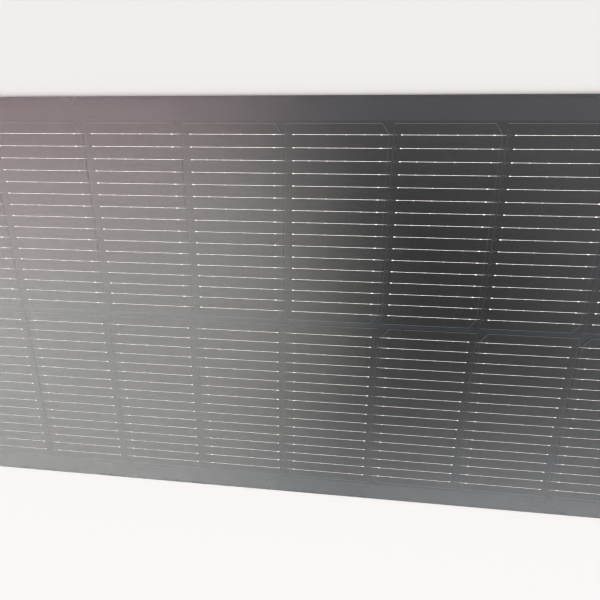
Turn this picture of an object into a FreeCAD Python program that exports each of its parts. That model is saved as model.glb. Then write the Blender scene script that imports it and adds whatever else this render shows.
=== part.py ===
import FreeCAD, Part
import math
import os

import Sketcher
from FreeCAD import Placement, Rotation, Vector

# Flexible solar sheet: a thin black laminate with two rows of half-cut cells, joined by
# round wires, and a flat junction box on the front of its -X end margin.
# Frame: +X along the sheet, +Y across it, +Z out of the face that meets the sun.
# The origin is the middle of the underside. Millimetres.

doc = FreeCAD.newDocument("flexible_solar_sheet")

# Driving dimensions, one cell of the spreadsheet each.
DIMENSIONS = {
    # rows of cells
    "columns": 18,
    "cell_width": 91.0,
    "cell_height": 182.0,
    "cell_thickness": 0.18,
    "cell_chamfer": 7.5,
    "cell_gap": 1.5,
    "row_gap": 4.0,
    "row_shift": 1.5,
    # margins outside the cells
    "side_margin": 21.5,
    "far_margin": 25.0,
    "box_margin": 91.5,
    "sheet_corner": 8.0,
    # layers, from the underside up
    "rear_sheet_thickness": 0.3,
    "bond_film_thickness": 0.2,
    "board_thickness": 0.7,
    "rear_encapsulant_thickness": 0.55,
    "front_encapsulant_thickness": 0.65,
    "front_film_thickness": 0.1,
    # wires between the cells
    "wires_per_cell": 16,
    "wire_pitch": 10.85,
    "wire_width": 0.4,
    "wire_height": 0.25,
    "wire_inset": 7.7,
    "wire_bend_run": 0.9,
    "wire_bend_shift": 0.06,
    "wire_end_reach": 8.0,
    "groove_clearance": 0.1,
    # flat ribbons at the ends of the rows
    "ribbon_setback": 4.0,
    "ribbon_width": 6.0,
    "ribbon_overhang": 3.5,
    "lead_offset": 12.0,
    "slot_length": 7.0,
    "slot_width": 1.2,
    # junction box
    "box_centre_inset": 41.0,
    "box_width": 62.0,
    "box_length": 96.0,
    "box_wall": 2.0,
    "box_floor": 2.0,
    "box_rim": 14.0,
    "box_corner": 5.0,
    "box_adhesive_thickness": 0.8,
    "box_slot_x": 20.0,
    "gasket_height": 1.0,
    "gasket_inset": 0.3,
    "lid_seam": 0.1,
    "lid_thickness": 2.5,
    "lid_edge_round": 0.8,
    "lip_clearance": 0.35,
    "lip_thickness": 1.5,
    "lip_inner_corner": 1.2,
    "lip_depth": 2.2,
    "tab_width": 14.0,
    "tab_clearance": 0.5,
    "tab_thickness": 1.5,
    "tab_drop": 7.0,
    "tab_nib": 0.2,
    "nib_gap": 0.2,
    "catch_depth": 0.25,
    "catch_height": 1.2,
    "catch_top": 10.4,
    # lid hinge
    "hinge_stand_off": 3.0,
    "knuckle_radius": 2.5,
    "knuckle_half": 19.7,
    "ear_inner": 20.0,
    "ear_outer": 28.0,
    "pin_radius": 1.0,
    "ear_bore_radius": 1.02,
    "knuckle_bore_radius": 1.05,
    "web_drop": 0.6,
    "stop_length": 3.3,
    "stop_half_thickness": 0.5,
    "stop_angle": 213.0,
    # terminals and bypass diode
    "terminal_left": -12.0,
    "terminal_right": 18.5,
    "terminal_inner": 8.0,
    "terminal_outer": 38.0,
    "terminal_plate": 1.5,
    "clamp_width": 12.0,
    "clamp_height": 9.0,
    "clamp_hole_radius": 1.6,
    "screw_radius": 1.5,
    "screw_hole_radius": 1.53,
    "screw_head_radius": 2.8,
    "screw_head_height": 1.8,
    "screw_slot_width": 0.8,
    "screw_slot_depth": 0.9,
    "screw_length": 2.7,
    "fold_length": 9.0,
    "diode_left": 1.5,
    "diode_right": 10.5,
    "diode_half": 6.5,
    "diode_height": 4.5,
    "diode_lead_left": 4.5,
    "diode_lead_right": 7.5,
    "diode_lead_half": 14.0,
    "diode_lead_thickness": 0.8,
    # cable glands
    "gland_x": -6.0,
    "gland_z": 8.0,
    "gland_tail_radius": 6.0,
    "gland_wall_hole_radius": 6.03,
    "gland_collar_radius": 7.5,
    "gland_collar_length": 3.0,
    "gland_spigot_length": 9.0,
    "gland_bore_radius": 3.4,
    "seal_seat_radius": 4.5,
    "seal_radius": 4.46,
    "seal_bore_radius": 3.1,
    "seal_length": 8.0,
    "nut_flat_radius": 7.5,
    "nut_bore_radius": 6.05,
    "nut_length": 9.6,
    "nut_front": 1.5,
    "nut_mouth_radius": 3.6,
    "nut_end_gap": 0.1,
    # long enough to cut right through any piece of the box
    "through_cut": 200.0,
}

sheet = doc.addObject("Spreadsheet::Sheet", "Sizes")
for row, (alias, value) in enumerate(DIMENSIONS.items(), start=1):
    sheet.set(f"A{row}", alias)
    sheet.set(f"B{row}", str(value))
    sheet.setAlias(f"B{row}", alias)
doc.recompute()

# Lengths that follow from the driving ones, written for the expression engine.
COLUMN_PITCH = "(Sizes.cell_width + Sizes.cell_gap)"
ROW_LENGTH = f"(Sizes.columns * {COLUMN_PITCH} - Sizes.cell_gap)"
ROW_CENTRE_Y = "((Sizes.cell_height + Sizes.row_gap) / 2)"
HALF_LENGTH = f"(({ROW_LENGTH} + Sizes.far_margin + Sizes.box_margin) / 2)"
HALF_WIDTH = "(Sizes.cell_height + Sizes.row_gap / 2 + Sizes.side_margin)"
ROW_A_LEFT = f"(Sizes.box_margin - {HALF_LENGTH})"
ROW_A_RIGHT = f"({HALF_LENGTH} - Sizes.far_margin)"
ROW_A_CENTRE_X = f"(({ROW_A_LEFT} + {ROW_A_RIGHT}) / 2)"
HALF_ROW = f"({ROW_LENGTH} / 2)"

BOND_Z = "Sizes.rear_sheet_thickness"
BOARD_Z = f"({BOND_Z} + Sizes.bond_film_thickness)"
REAR_FILL_Z = f"({BOARD_Z} + Sizes.board_thickness)"
CELL_Z = f"({REAR_FILL_Z} + Sizes.rear_encapsulant_thickness)"
FILM_Z = f"({CELL_Z} + Sizes.front_encapsulant_thickness)"
FACE_Z = f"({FILM_Z} + Sizes.front_film_thickness)"

BOX_X = f"(Sizes.box_centre_inset - {HALF_LENGTH})"
BOX_Z = f"({FACE_Z} + Sizes.box_adhesive_thickness)"
HALF_BOX_X = "(Sizes.box_width / 2)"
HALF_BOX_Y = "(Sizes.box_length / 2)"
HALF_ROOM_X = f"({HALF_BOX_X} - Sizes.box_wall)"
HALF_ROOM_Y = f"({HALF_BOX_Y} - Sizes.box_wall)"
PLATE_TOP_Z = "(Sizes.box_floor + Sizes.terminal_plate)"
LID_Z = "(Sizes.box_rim + Sizes.gasket_height + Sizes.lid_seam)"
HINGE_X = f"(-{HALF_BOX_X} - Sizes.hinge_stand_off)"


def number(expression):
    """The value of an expression, as a plain number."""
    result = sheet.evalExpression(expression)
    return float(getattr(result, "Value", result))


def bind(item, **expressions):
    """Bind properties to expressions. A double underscore stands for a dot."""
    for name, expression in expressions.items():
        item.setExpression(name.replace("__", "."), expression)


def place(item, x="0", y="0", z="0", turn=0.0):
    """Place a sub-part by expressions, turned by whole degrees about +Z."""
    item.Placement = Placement(Vector(), Rotation(Vector(0, 0, 1), turn))
    bind(item, Placement__Base__x=x, Placement__Base__y=y, Placement__Base__z=z)


def new_body(label, **place_at):
    """A PartDesign body that is one sub-part, labelled with its node's name."""
    body = doc.addObject("PartDesign::Body", label)
    body.Label = label
    place(body, **place_at)
    return body


def origin_item(body, role):
    """One of a body's own origin planes or axes, found by its role."""
    return next(item for item in body.Origin.OriginFeatures if item.Role == role)


def new_sketch(body, role="XY_Plane", height="0"):
    """A sketch on one of a body's origin planes, raised along the plane's normal."""
    sketch = body.newObject("Sketcher::SketchObject", "Sketch")
    sketch.AttachmentSupport = [(origin_item(body, role), "")]
    sketch.MapMode = "FlatFace"
    bind(sketch, AttachmentOffset__Base__z=height)
    return sketch


def hold_point(sketch, geometry, point, x, y):
    """Fix one point of a sketch at two expressions, measured from its origin."""
    for kind, expression in (("DistanceX", x), ("DistanceY", y)):
        if expression == "0":
            axis = -2 if kind == "DistanceX" else -1
            sketch.addConstraint(Sketcher.Constraint("PointOnObject", geometry, point, axis))
            continue
        index = sketch.addConstraint(
            Sketcher.Constraint(kind, -1, 1, geometry, point, number(expression))
        )
        sketch.setExpression(f"Constraints[{index}]", expression)


def add_polygon(sketch, corners):
    """A closed outline through corners given as pairs of expressions."""
    first = sketch.GeometryCount
    points = [Vector(number(x), number(y), 0) for x, y in corners]
    for start, end in zip(points, points[1:] + points[:1]):
        sketch.addGeometry(Part.LineSegment(start, end))
    for step, (x, y) in enumerate(corners):
        before = first + (step - 1) % len(corners)
        sketch.addConstraint(Sketcher.Constraint("Coincident", before, 2, first + step, 1))
        hold_point(sketch, first + step, 1, x, y)


def add_rectangle(sketch, left, low, right, high):
    """A closed rectangle between four expressions."""
    add_polygon(sketch, [(left, low), (right, low), (right, high), (left, high)])


def add_circle(sketch, x, y, radius):
    """A circle whose centre and radius are expressions."""
    centre = Vector(number(x), number(y), 0)
    index = sketch.addGeometry(Part.Circle(centre, Vector(0, 0, 1), number(radius)))
    hold_point(sketch, index, 3, x, y)
    held = sketch.addConstraint(Sketcher.Constraint("Radius", index, number(radius)))
    sketch.setExpression(f"Constraints[{held}]", radius)


def add_rounded_rectangle(sketch, half_x, half_y, radius):
    """A rectangle about the sketch's origin, with four equal tangent arcs."""
    first = sketch.GeometryCount
    wide, tall, round_ = number(half_x), number(half_y), number(radius)
    inner_x, inner_y = wide - round_, tall - round_
    ends = [
        (Vector(-inner_x, -tall, 0), Vector(inner_x, -tall, 0)),
        (Vector(wide, -inner_y, 0), Vector(wide, inner_y, 0)),
        (Vector(inner_x, tall, 0), Vector(-inner_x, tall, 0)),
        (Vector(-wide, inner_y, 0), Vector(-wide, -inner_y, 0)),
    ]
    for start, end in ends:
        sketch.addGeometry(Part.LineSegment(start, end))
    centres = [(inner_x, -inner_y), (inner_x, inner_y), (-inner_x, inner_y), (-inner_x, -inner_y)]
    quarter = math.pi / 2
    for step, (x, y) in enumerate(centres):
        circle = Part.Circle(Vector(x, y, 0), Vector(0, 0, 1), round_)
        start = (step - 1) * quarter
        sketch.addGeometry(Part.ArcOfCircle(circle, start, start + quarter))
    for step in range(4):
        line, arc, following = first + step, first + 4 + step, first + (step + 1) % 4
        kind = "Horizontal" if step % 2 == 0 else "Vertical"
        sketch.addConstraint(Sketcher.Constraint(kind, line))
        sketch.addConstraint(Sketcher.Constraint("Tangent", line, 2, arc, 1))
        sketch.addConstraint(Sketcher.Constraint("Tangent", arc, 2, following, 1))
        if step:
            sketch.addConstraint(Sketcher.Constraint("Equal", first + 4, arc))
    held = sketch.addConstraint(Sketcher.Constraint("Radius", first + 4, round_))
    sketch.setExpression(f"Constraints[{held}]", radius)
    sides = [(0, "DistanceY", f"-{half_y}"), (1, "DistanceX", half_x)]
    sides += [(2, "DistanceY", half_y), (3, "DistanceX", f"-{half_x}")]
    for step, kind, expression in sides:
        held = sketch.addConstraint(
            Sketcher.Constraint(kind, -1, 1, first + step, 1, number(expression))
        )
        sketch.setExpression(f"Constraints[{held}]", expression)


def add_pad(body, sketch, length, centred=False):
    """Raise a sketch along its normal, or half each way."""
    pad = body.newObject("PartDesign::Pad", "Pad")
    pad.Profile = sketch
    pad.SideType = "Symmetric" if centred else "One side"
    bind(pad, Length=length)
    body.Tip = pad
    return pad


def add_pocket(body, sketch, depth, upwards=False, centred=False):
    """Cut a sketch below its plane, above it, or half each way."""
    pocket = body.newObject("PartDesign::Pocket", "Pocket")
    pocket.Profile = sketch
    pocket.SideType = "Symmetric" if centred else "One side"
    pocket.Reversed = upwards
    bind(pocket, Length=depth)
    body.Tip = pocket
    return pocket


def repeat(body, feature, role, spacing, occurrences, whole=False):
    """A linear pattern of one feature, or of the whole shape so far."""
    pattern = body.newObject("PartDesign::LinearPattern", "Pattern")
    if whole:
        pattern.TransformMode = "Whole shape"
    else:
        pattern.Originals = [feature]
    pattern.Direction = (origin_item(body, role), [""])
    pattern.Mode = "Spacing"
    bind(pattern, Offset=spacing, Occurrences=occurrences)
    body.Tip = pattern
    return pattern


def mirror_across(body, features, role):
    """Mirror features across one of the body's origin planes."""
    mirrored = body.newObject("PartDesign::Mirrored", "Mirrored")
    mirrored.Originals = features
    mirrored.MirrorPlane = (origin_item(body, role), [""])
    body.Tip = mirrored
    return mirrored


# Laminate layers, all cut to one outline.

def make_layer(label, low, thickness):
    """A plain layer of the laminate, from a height, with its own thickness."""
    body = new_body(label, z=low)
    outline = new_sketch(body)
    add_rounded_rectangle(outline, HALF_LENGTH, HALF_WIDTH, "Sizes.sheet_corner")
    add_pad(body, outline, thickness)
    return body


def cut_grooves(body, height, depth, upwards):
    """Grooves that the wires lie in, along both rows and out over the ribbons."""
    reach = "(Sizes.ribbon_setback + Sizes.ribbon_width + Sizes.row_shift)"
    half_groove = "(Sizes.wire_width / 2 + Sizes.groove_clearance)"
    first_wire = "((Sizes.row_gap + Sizes.cell_height"
    first_wire += " - (Sizes.wires_per_cell - 1) * Sizes.wire_pitch) / 2)"
    for side in ("", "-"):
        groove = new_sketch(body, height=height)
        centre = f"({side}{first_wire})"
        edges = [f"({centre} - {half_groove})", f"({centre} + {half_groove})"]
        left, right = f"({ROW_A_LEFT} - {reach})", f"({ROW_A_RIGHT} + {reach})"
        add_rectangle(groove, left, edges[0], right, edges[1])
        pocket = add_pocket(body, groove, depth, upwards)
        pattern = repeat(body, pocket, "Y_Axis", "Sizes.wire_pitch", "Sizes.wires_per_cell")
        pattern.Reversed = side == "-"


def cut_lead_slots(body, height, depth, x, upwards=True):
    """Two slots where the leads of the ribbons rise into the junction box."""
    for side in ("", "-"):
        slot = new_sketch(body, height=height)
        middle = f"({side}Sizes.lead_offset)"
        add_rectangle(
            slot,
            f"({x} - Sizes.slot_width / 2)",
            f"({middle} - Sizes.slot_length / 2)",
            f"({x} + Sizes.slot_width / 2)",
            f"({middle} + Sizes.slot_length / 2)",
        )
        add_pocket(body, slot, depth, upwards)


SLOT_X = f"({BOX_X} + Sizes.box_slot_x)"

make_layer("rear_sheet", "0", "Sizes.rear_sheet_thickness")
make_layer("bond_film", BOND_Z, "Sizes.bond_film_thickness")
make_layer("stiffener_board", BOARD_Z, "Sizes.board_thickness")

rear_fill = make_layer("rear_encapsulant", REAR_FILL_Z, "Sizes.rear_encapsulant_thickness")
cut_grooves(rear_fill, "Sizes.rear_encapsulant_thickness", "Sizes.wire_height", False)

front_fill = make_layer("front_encapsulant", CELL_Z, "Sizes.front_encapsulant_thickness")
GROOVE_DEPTH = "(Sizes.cell_thickness + Sizes.wire_height)"
cut_grooves(front_fill, "0", GROOVE_DEPTH, True)
for side in ("", "-"):
    # a shallow bed for each row of cells
    bed = new_sketch(front_fill)
    shift = "Sizes.row_shift" if side else "0"
    middle = f"({side}{ROW_CENTRE_Y})"
    add_rectangle(
        bed,
        f"({ROW_A_LEFT} + {shift})",
        f"({middle} - Sizes.cell_height / 2)",
        f"({ROW_A_RIGHT} + {shift})",
        f"({middle} + Sizes.cell_height / 2)",
    )
    add_pocket(front_fill, bed, "Sizes.cell_thickness", True)

# Where the ribbons lie: one crosses both rows at the far end, two end near the box.
WIRE_SPAN = "((Sizes.wires_per_cell - 1) * Sizes.wire_pitch / 2)"
RIBBON_TIP = f"({ROW_CENTRE_Y} + {WIRE_SPAN} + Sizes.ribbon_overhang)"
LEAD_LOW = "(Sizes.lead_offset - Sizes.ribbon_width / 2)"
LEAD_HIGH = "(Sizes.lead_offset + Sizes.ribbon_width / 2)"
CROSSING_LEFT = f"({ROW_A_RIGHT} + Sizes.ribbon_setback)"
POSITIVE_RIGHT = f"({ROW_A_LEFT} - Sizes.ribbon_setback)"
NEGATIVE_RIGHT = f"({POSITIVE_RIGHT} + Sizes.row_shift)"


def l_outline(right, mirrored):
    """Corners of an end ribbon and its lead, seen from above."""
    turn = "-" if mirrored else ""
    left = f"({right} - Sizes.ribbon_width)"
    return [
        (SLOT_X, f"({turn}{LEAD_LOW})"),
        (right, f"({turn}{LEAD_LOW})"),
        (right, f"({turn}{RIBBON_TIP})"),
        (left, f"({turn}{RIBBON_TIP})"),
        (left, f"({turn}{LEAD_HIGH})"),
        (SLOT_X, f"({turn}{LEAD_HIGH})"),
    ]


CROSSING_RIGHT = f"({CROSSING_LEFT} + Sizes.ribbon_width)"
crossing_bed = new_sketch(front_fill)
add_rectangle(crossing_bed, CROSSING_LEFT, f"(-{RIBBON_TIP})", CROSSING_RIGHT, RIBBON_TIP)
add_pocket(front_fill, crossing_bed, "Sizes.cell_thickness", True)
for right, mirrored in ((POSITIVE_RIGHT, False), (NEGATIVE_RIGHT, True)):
    lead_bed = new_sketch(front_fill)
    add_polygon(lead_bed, l_outline(right, mirrored))
    add_pocket(front_fill, lead_bed, "Sizes.cell_thickness", True)
cut_lead_slots(front_fill, "0", "Sizes.front_encapsulant_thickness", SLOT_X)

front_film = make_layer("front_film", FILM_Z, "Sizes.front_film_thickness")
cut_lead_slots(front_film, "0", "Sizes.front_film_thickness", SLOT_X)


# Half-cut cells: two corners cut off, row B turned half a turn.

def make_cell(label, x, y, turn):
    """One half-cut cell, centred on its own origin."""
    body = new_body(label, x=x, y=y, z=CELL_Z, turn=turn)
    outline = new_sketch(body)
    half_x, half_y = "(Sizes.cell_width / 2)", "(Sizes.cell_height / 2)"
    cut_x = f"({half_x} - Sizes.cell_chamfer)"
    cut_y = f"({half_y} - Sizes.cell_chamfer)"
    corners = [(f"(-{half_x})", f"(-{half_y})"), (cut_x, f"(-{half_y})")]
    corners += [(half_x, f"(-{cut_y})"), (half_x, cut_y), (cut_x, half_y)]
    corners += [(f"(-{half_x})", half_y)]
    add_polygon(outline, corners)
    add_pad(body, outline, "Sizes.cell_thickness")


for column in range(1, DIMENSIONS["columns"] + 1):
    along = f"({ROW_A_LEFT} + Sizes.cell_width / 2 + {column - 1} * {COLUMN_PITCH})"
    make_cell(f"cell_a{column:02d}", along, ROW_CENTRE_Y, 0.0)
    make_cell(f"cell_b{column:02d}", f"({along} + Sizes.row_shift)", f"(-{ROW_CENTRE_Y})", 180.0)


# Wires: each runs along the front of one cell, bends down through the gap and passes
# behind the next. Heights are measured from the back of the cells.

def make_wires(label, x, y, turn):
    """All the wires of one row, drawn about the row's centre."""
    body = new_body(label, x=x, y=y, z=CELL_Z, turn=turn)
    top = "Sizes.cell_thickness"
    crest = "(Sizes.cell_thickness + Sizes.wire_height)"
    under = "(-Sizes.wire_height)"
    gap_left = f"(Sizes.cell_width - {HALF_ROW})"
    bend = f"({gap_left} + (Sizes.cell_gap - Sizes.wire_bend_run - Sizes.wire_bend_shift) / 2)"
    front_start = f"(Sizes.wire_inset - {HALF_ROW})"
    back_end = f"({gap_left} + Sizes.cell_gap + Sizes.cell_width - Sizes.wire_inset)"
    bend_end = f"({bend} + Sizes.wire_bend_run)"

    def comb(profile_points):
        """Draw one wire from the side and repeat it across the cell."""
        profile = new_sketch(body, "XZ_Plane", WIRE_SPAN)
        add_polygon(profile, profile_points)
        wire = add_pad(body, profile, "Sizes.wire_width", centred=True)
        return repeat(body, wire, "Y_Axis", "Sizes.wire_pitch", "Sizes.wires_per_cell")

    comb([
        (front_start, top),
        (bend, top),
        (bend_end, under),
        (back_end, under),
        (back_end, "0"),
        (f"({bend_end} + Sizes.wire_bend_shift)", "0"),
        (f"({bend} + Sizes.wire_bend_shift)", crest),
        (front_start, crest),
    ])
    repeat(body, None, "X_Axis", COLUMN_PITCH, "Sizes.columns - 1", whole=True)
    # the last cell's front wires and the first cell's back wires reach the ribbons
    last_start = f"({HALF_ROW} - Sizes.cell_width + Sizes.wire_inset)"
    last_end = f"({HALF_ROW} + Sizes.wire_end_reach)"
    comb([(last_start, top), (last_end, top), (last_end, crest), (last_start, crest)])
    first_start = f"(-{HALF_ROW} - Sizes.wire_end_reach)"
    first_end = f"(Sizes.cell_width - Sizes.wire_inset - {HALF_ROW})"
    comb([(first_start, under), (first_end, under), (first_end, "0"), (first_start, "0")])


make_wires("wires_row_a", ROW_A_CENTRE_X, ROW_CENTRE_Y, 0.0)
make_wires("wires_row_b", f"({ROW_A_CENTRE_X} + Sizes.row_shift)", f"(-{ROW_CENTRE_Y})", 180.0)

crossing = new_body("crossing_ribbon", z=CELL_Z)
crossing_outline = new_sketch(crossing)
add_rectangle(crossing_outline, CROSSING_LEFT, f"(-{RIBBON_TIP})", CROSSING_RIGHT, RIBBON_TIP)
add_pad(crossing, crossing_outline, "Sizes.cell_thickness")


def make_end_ribbon(label, right, mirrored):
    """An end ribbon whose lead rises through the slots and folds onto its terminal."""
    body = new_body(label, z=CELL_Z)
    flat = new_sketch(body)
    add_polygon(flat, l_outline(right, mirrored))
    add_pad(body, flat, "Sizes.cell_thickness")
    # the XZ plane's sketches look along +Y, so their height runs towards -Y
    middle = "Sizes.lead_offset" if mirrored else "(-Sizes.lead_offset)"
    lead = new_sketch(body, "XZ_Plane", middle)
    rise_left = f"({SLOT_X} - Sizes.cell_thickness / 2)"
    rise_right = f"({SLOT_X} + Sizes.cell_thickness / 2)"
    fold_left = f"({SLOT_X} - Sizes.fold_length)"
    fold_low = f"({BOX_Z} + {PLATE_TOP_Z} - {CELL_Z})"
    fold_high = f"({fold_low} + Sizes.cell_thickness)"
    add_polygon(lead, [
        (rise_left, "0"),
        (rise_right, "0"),
        (rise_right, fold_high),
        (fold_left, fold_high),
        (fold_left, fold_low),
        (rise_left, fold_low),
    ])
    add_pad(body, lead, "Sizes.ribbon_width", centred=True)


make_end_ribbon("positive_ribbon", POSITIVE_RIGHT, False)
make_end_ribbon("negative_ribbon", NEGATIVE_RIGHT, True)


# Junction box. Its pieces are drawn about the middle of the box's underside.

BOX_PLACE = {"x": BOX_X, "z": BOX_Z}

adhesive = new_body("box_adhesive", x=BOX_X, z=FACE_Z)
adhesive_outline = new_sketch(adhesive)
add_rounded_rectangle(adhesive_outline, HALF_BOX_X, HALF_BOX_Y, "Sizes.box_corner")
add_pad(adhesive, adhesive_outline, "Sizes.box_adhesive_thickness")
cut_lead_slots(adhesive, "0", "Sizes.box_adhesive_thickness", "Sizes.box_slot_x")

base = new_body("box_base", **BOX_PLACE)
base_outline = new_sketch(base)
add_rounded_rectangle(base_outline, HALF_BOX_X, HALF_BOX_Y, "Sizes.box_corner")
add_pad(base, base_outline, "Sizes.box_rim")
room = new_sketch(base, height="Sizes.box_floor")
room_corner = "(Sizes.box_corner - Sizes.box_wall)"
add_rounded_rectangle(room, HALF_ROOM_X, HALF_ROOM_Y, room_corner)
add_pocket(base, room, "Sizes.through_cut", upwards=True)
cut_lead_slots(base, "0", "Sizes.box_floor", "Sizes.box_slot_x")

gland_holes = new_sketch(base, "XZ_Plane")
add_circle(gland_holes, "Sizes.gland_x", "Sizes.gland_z", "Sizes.gland_wall_hole_radius")
add_pocket(base, gland_holes, "Sizes.through_cut", centred=True)

catch = new_sketch(base, "XZ_Plane")
catch_right = f"({HALF_BOX_X} + Sizes.catch_depth)"
catch_low = "(Sizes.catch_top - Sizes.catch_height)"
catch_root = f"({HALF_BOX_X} - Sizes.box_wall / 2)"
add_rectangle(catch, catch_root, catch_low, catch_right, "Sizes.catch_top")
add_pad(base, catch, "Sizes.tab_width", centred=True)

EAR_LENGTH = "(Sizes.ear_outer - Sizes.ear_inner)"
EAR_MIDDLE = "((Sizes.ear_outer + Sizes.ear_inner) / 2)"
ear_web = new_sketch(base, "XZ_Plane", EAR_MIDDLE)
ear_root = f"(-{HALF_BOX_X} + Sizes.box_wall / 2)"
ear_low = f"({LID_Z} - Sizes.knuckle_radius)"
ear_high = f"({LID_Z} - Sizes.web_drop - Sizes.gasket_height)"
add_rectangle(ear_web, HINGE_X, ear_low, ear_root, ear_high)
web_pad = add_pad(base, ear_web, EAR_LENGTH, centred=True)
ear_round = new_sketch(base, "XZ_Plane", EAR_MIDDLE)
add_circle(ear_round, HINGE_X, LID_Z, "Sizes.knuckle_radius")
round_pad = add_pad(base, ear_round, EAR_LENGTH, centred=True)
mirror_across(base, [web_pad, round_pad], "XZ_Plane")
ear_bore = new_sketch(base, "XZ_Plane")
add_circle(ear_bore, HINGE_X, LID_Z, "Sizes.ear_bore_radius")
add_pocket(base, ear_bore, "Sizes.through_cut", centred=True)

gasket = new_body("lid_gasket", **BOX_PLACE)
gasket_outline = new_sketch(gasket, height="Sizes.box_rim")
add_rounded_rectangle(
    gasket_outline,
    f"({HALF_BOX_X} - Sizes.gasket_inset)",
    f"({HALF_BOX_Y} - Sizes.gasket_inset)",
    "(Sizes.box_corner - Sizes.gasket_inset)",
)
add_rounded_rectangle(gasket_outline, HALF_ROOM_X, HALF_ROOM_Y, room_corner)
add_pad(gasket, gasket_outline, "Sizes.gasket_height")

lid = new_body("box_lid", **BOX_PLACE)
lid_outline = new_sketch(lid, height=LID_Z)
add_rounded_rectangle(lid_outline, HALF_BOX_X, HALF_BOX_Y, "Sizes.box_corner")
lid_plate = add_pad(lid, lid_outline, "Sizes.lid_thickness")
doc.recompute()
lid_top = number(f"{LID_Z} + Sizes.lid_thickness")
top_edges = [
    f"Edge{index}"
    for index, edge in enumerate(lid_plate.Shape.Edges, start=1)
    if min(vertex.Z for vertex in edge.Vertexes) > lid_top - 1e-6
]
round_over = lid.newObject("PartDesign::Fillet", "Fillet")
round_over.Base = (lid_plate, top_edges)
bind(round_over, Radius="Sizes.lid_edge_round")
lid.Tip = round_over

lip = new_sketch(lid, height=f"({LID_Z} - Sizes.lip_depth)")
lip_outer = [f"({half} - Sizes.lip_clearance)" for half in (HALF_ROOM_X, HALF_ROOM_Y)]
lip_inner = [f"({half} - Sizes.lip_thickness)" for half in lip_outer]
add_rounded_rectangle(lip, *lip_outer, f"({room_corner} - Sizes.lip_clearance)")
add_rounded_rectangle(lip, *lip_inner, "Sizes.lip_inner_corner")
add_pad(lid, lip, "(Sizes.lip_depth + Sizes.lid_thickness / 2)")

tab = new_sketch(lid, "XZ_Plane")
tab_left = f"({HALF_BOX_X} + Sizes.tab_clearance)"
tab_right = f"({tab_left} + Sizes.tab_thickness)"
tab_low = f"({LID_Z} - Sizes.tab_drop)"
tab_high = f"({LID_Z} + Sizes.lid_thickness - Sizes.lid_edge_round)"
nib_left = f"({tab_left} - Sizes.tab_nib)"
nib_high = "(Sizes.catch_top - Sizes.catch_height - Sizes.nib_gap)"
add_polygon(tab, [
    (nib_left, tab_low),
    (tab_right, tab_low),
    (tab_right, tab_high),
    (f"({HALF_BOX_X} - Sizes.box_wall)", tab_high),
    (f"({HALF_BOX_X} - Sizes.box_wall)", LID_Z),
    (tab_left, LID_Z),
    (tab_left, nib_high),
    (nib_left, nib_high),
])
add_pad(lid, tab, "Sizes.tab_width", centred=True)

KNUCKLE_LENGTH = "(2 * Sizes.knuckle_half)"
knuckle_web = new_sketch(lid, "XZ_Plane")
web_right = f"(-{HALF_BOX_X} + Sizes.box_wall)"
web_high = f"({LID_Z} + Sizes.lid_thickness - Sizes.lid_edge_round)"
add_rectangle(knuckle_web, HINGE_X, LID_Z, web_right, web_high)
add_pad(lid, knuckle_web, KNUCKLE_LENGTH, centred=True)
knuckle = new_sketch(lid, "XZ_Plane")
add_circle(knuckle, HINGE_X, LID_Z, "Sizes.knuckle_radius")
add_pad(lid, knuckle, KNUCKLE_LENGTH, centred=True)
# a rib on the knuckle that meets the wall of the base when the lid is open
stop = new_sketch(lid, "XZ_Plane")


def stop_corner(along, across):
    """A corner of the stop rib, along and across its own direction."""
    cosine, sine = "cos(Sizes.stop_angle * 1deg)", "sin(Sizes.stop_angle * 1deg)"
    x = f"({HINGE_X} + {along} * {cosine} - {across} * {sine})"
    y = f"({LID_Z} + {along} * {sine} + {across} * {cosine})"
    return (x, y)


stop_half = "Sizes.stop_half_thickness"
stop_root = "(Sizes.knuckle_radius / 2)"
add_polygon(stop, [
    stop_corner(stop_root, f"(-{stop_half})"),
    stop_corner("Sizes.stop_length", f"(-{stop_half})"),
    stop_corner("Sizes.stop_length", stop_half),
    stop_corner(stop_root, stop_half),
])
add_pad(lid, stop, KNUCKLE_LENGTH, centred=True)
knuckle_bore = new_sketch(lid, "XZ_Plane")
add_circle(knuckle_bore, HINGE_X, LID_Z, "Sizes.knuckle_bore_radius")
add_pocket(lid, knuckle_bore, "Sizes.through_cut", centred=True)

hinge_pin = doc.addObject("Part::Cylinder", "hinge_pin")
hinge_pin.Label = "hinge_pin"
hinge_pin.Placement = Placement(Vector(), Rotation(Vector(1, 0, 0), -90))
bind(
    hinge_pin,
    Radius="Sizes.pin_radius",
    Height="2 * Sizes.ear_outer",
    Placement__Base__x=f"{BOX_X} + {HINGE_X}",
    Placement__Base__y="-Sizes.ear_outer",
    Placement__Base__z=f"{BOX_Z} + {LID_Z}",
)


# Terminals: a soldering plate with a screw clamp for the cable, one each side.

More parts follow.
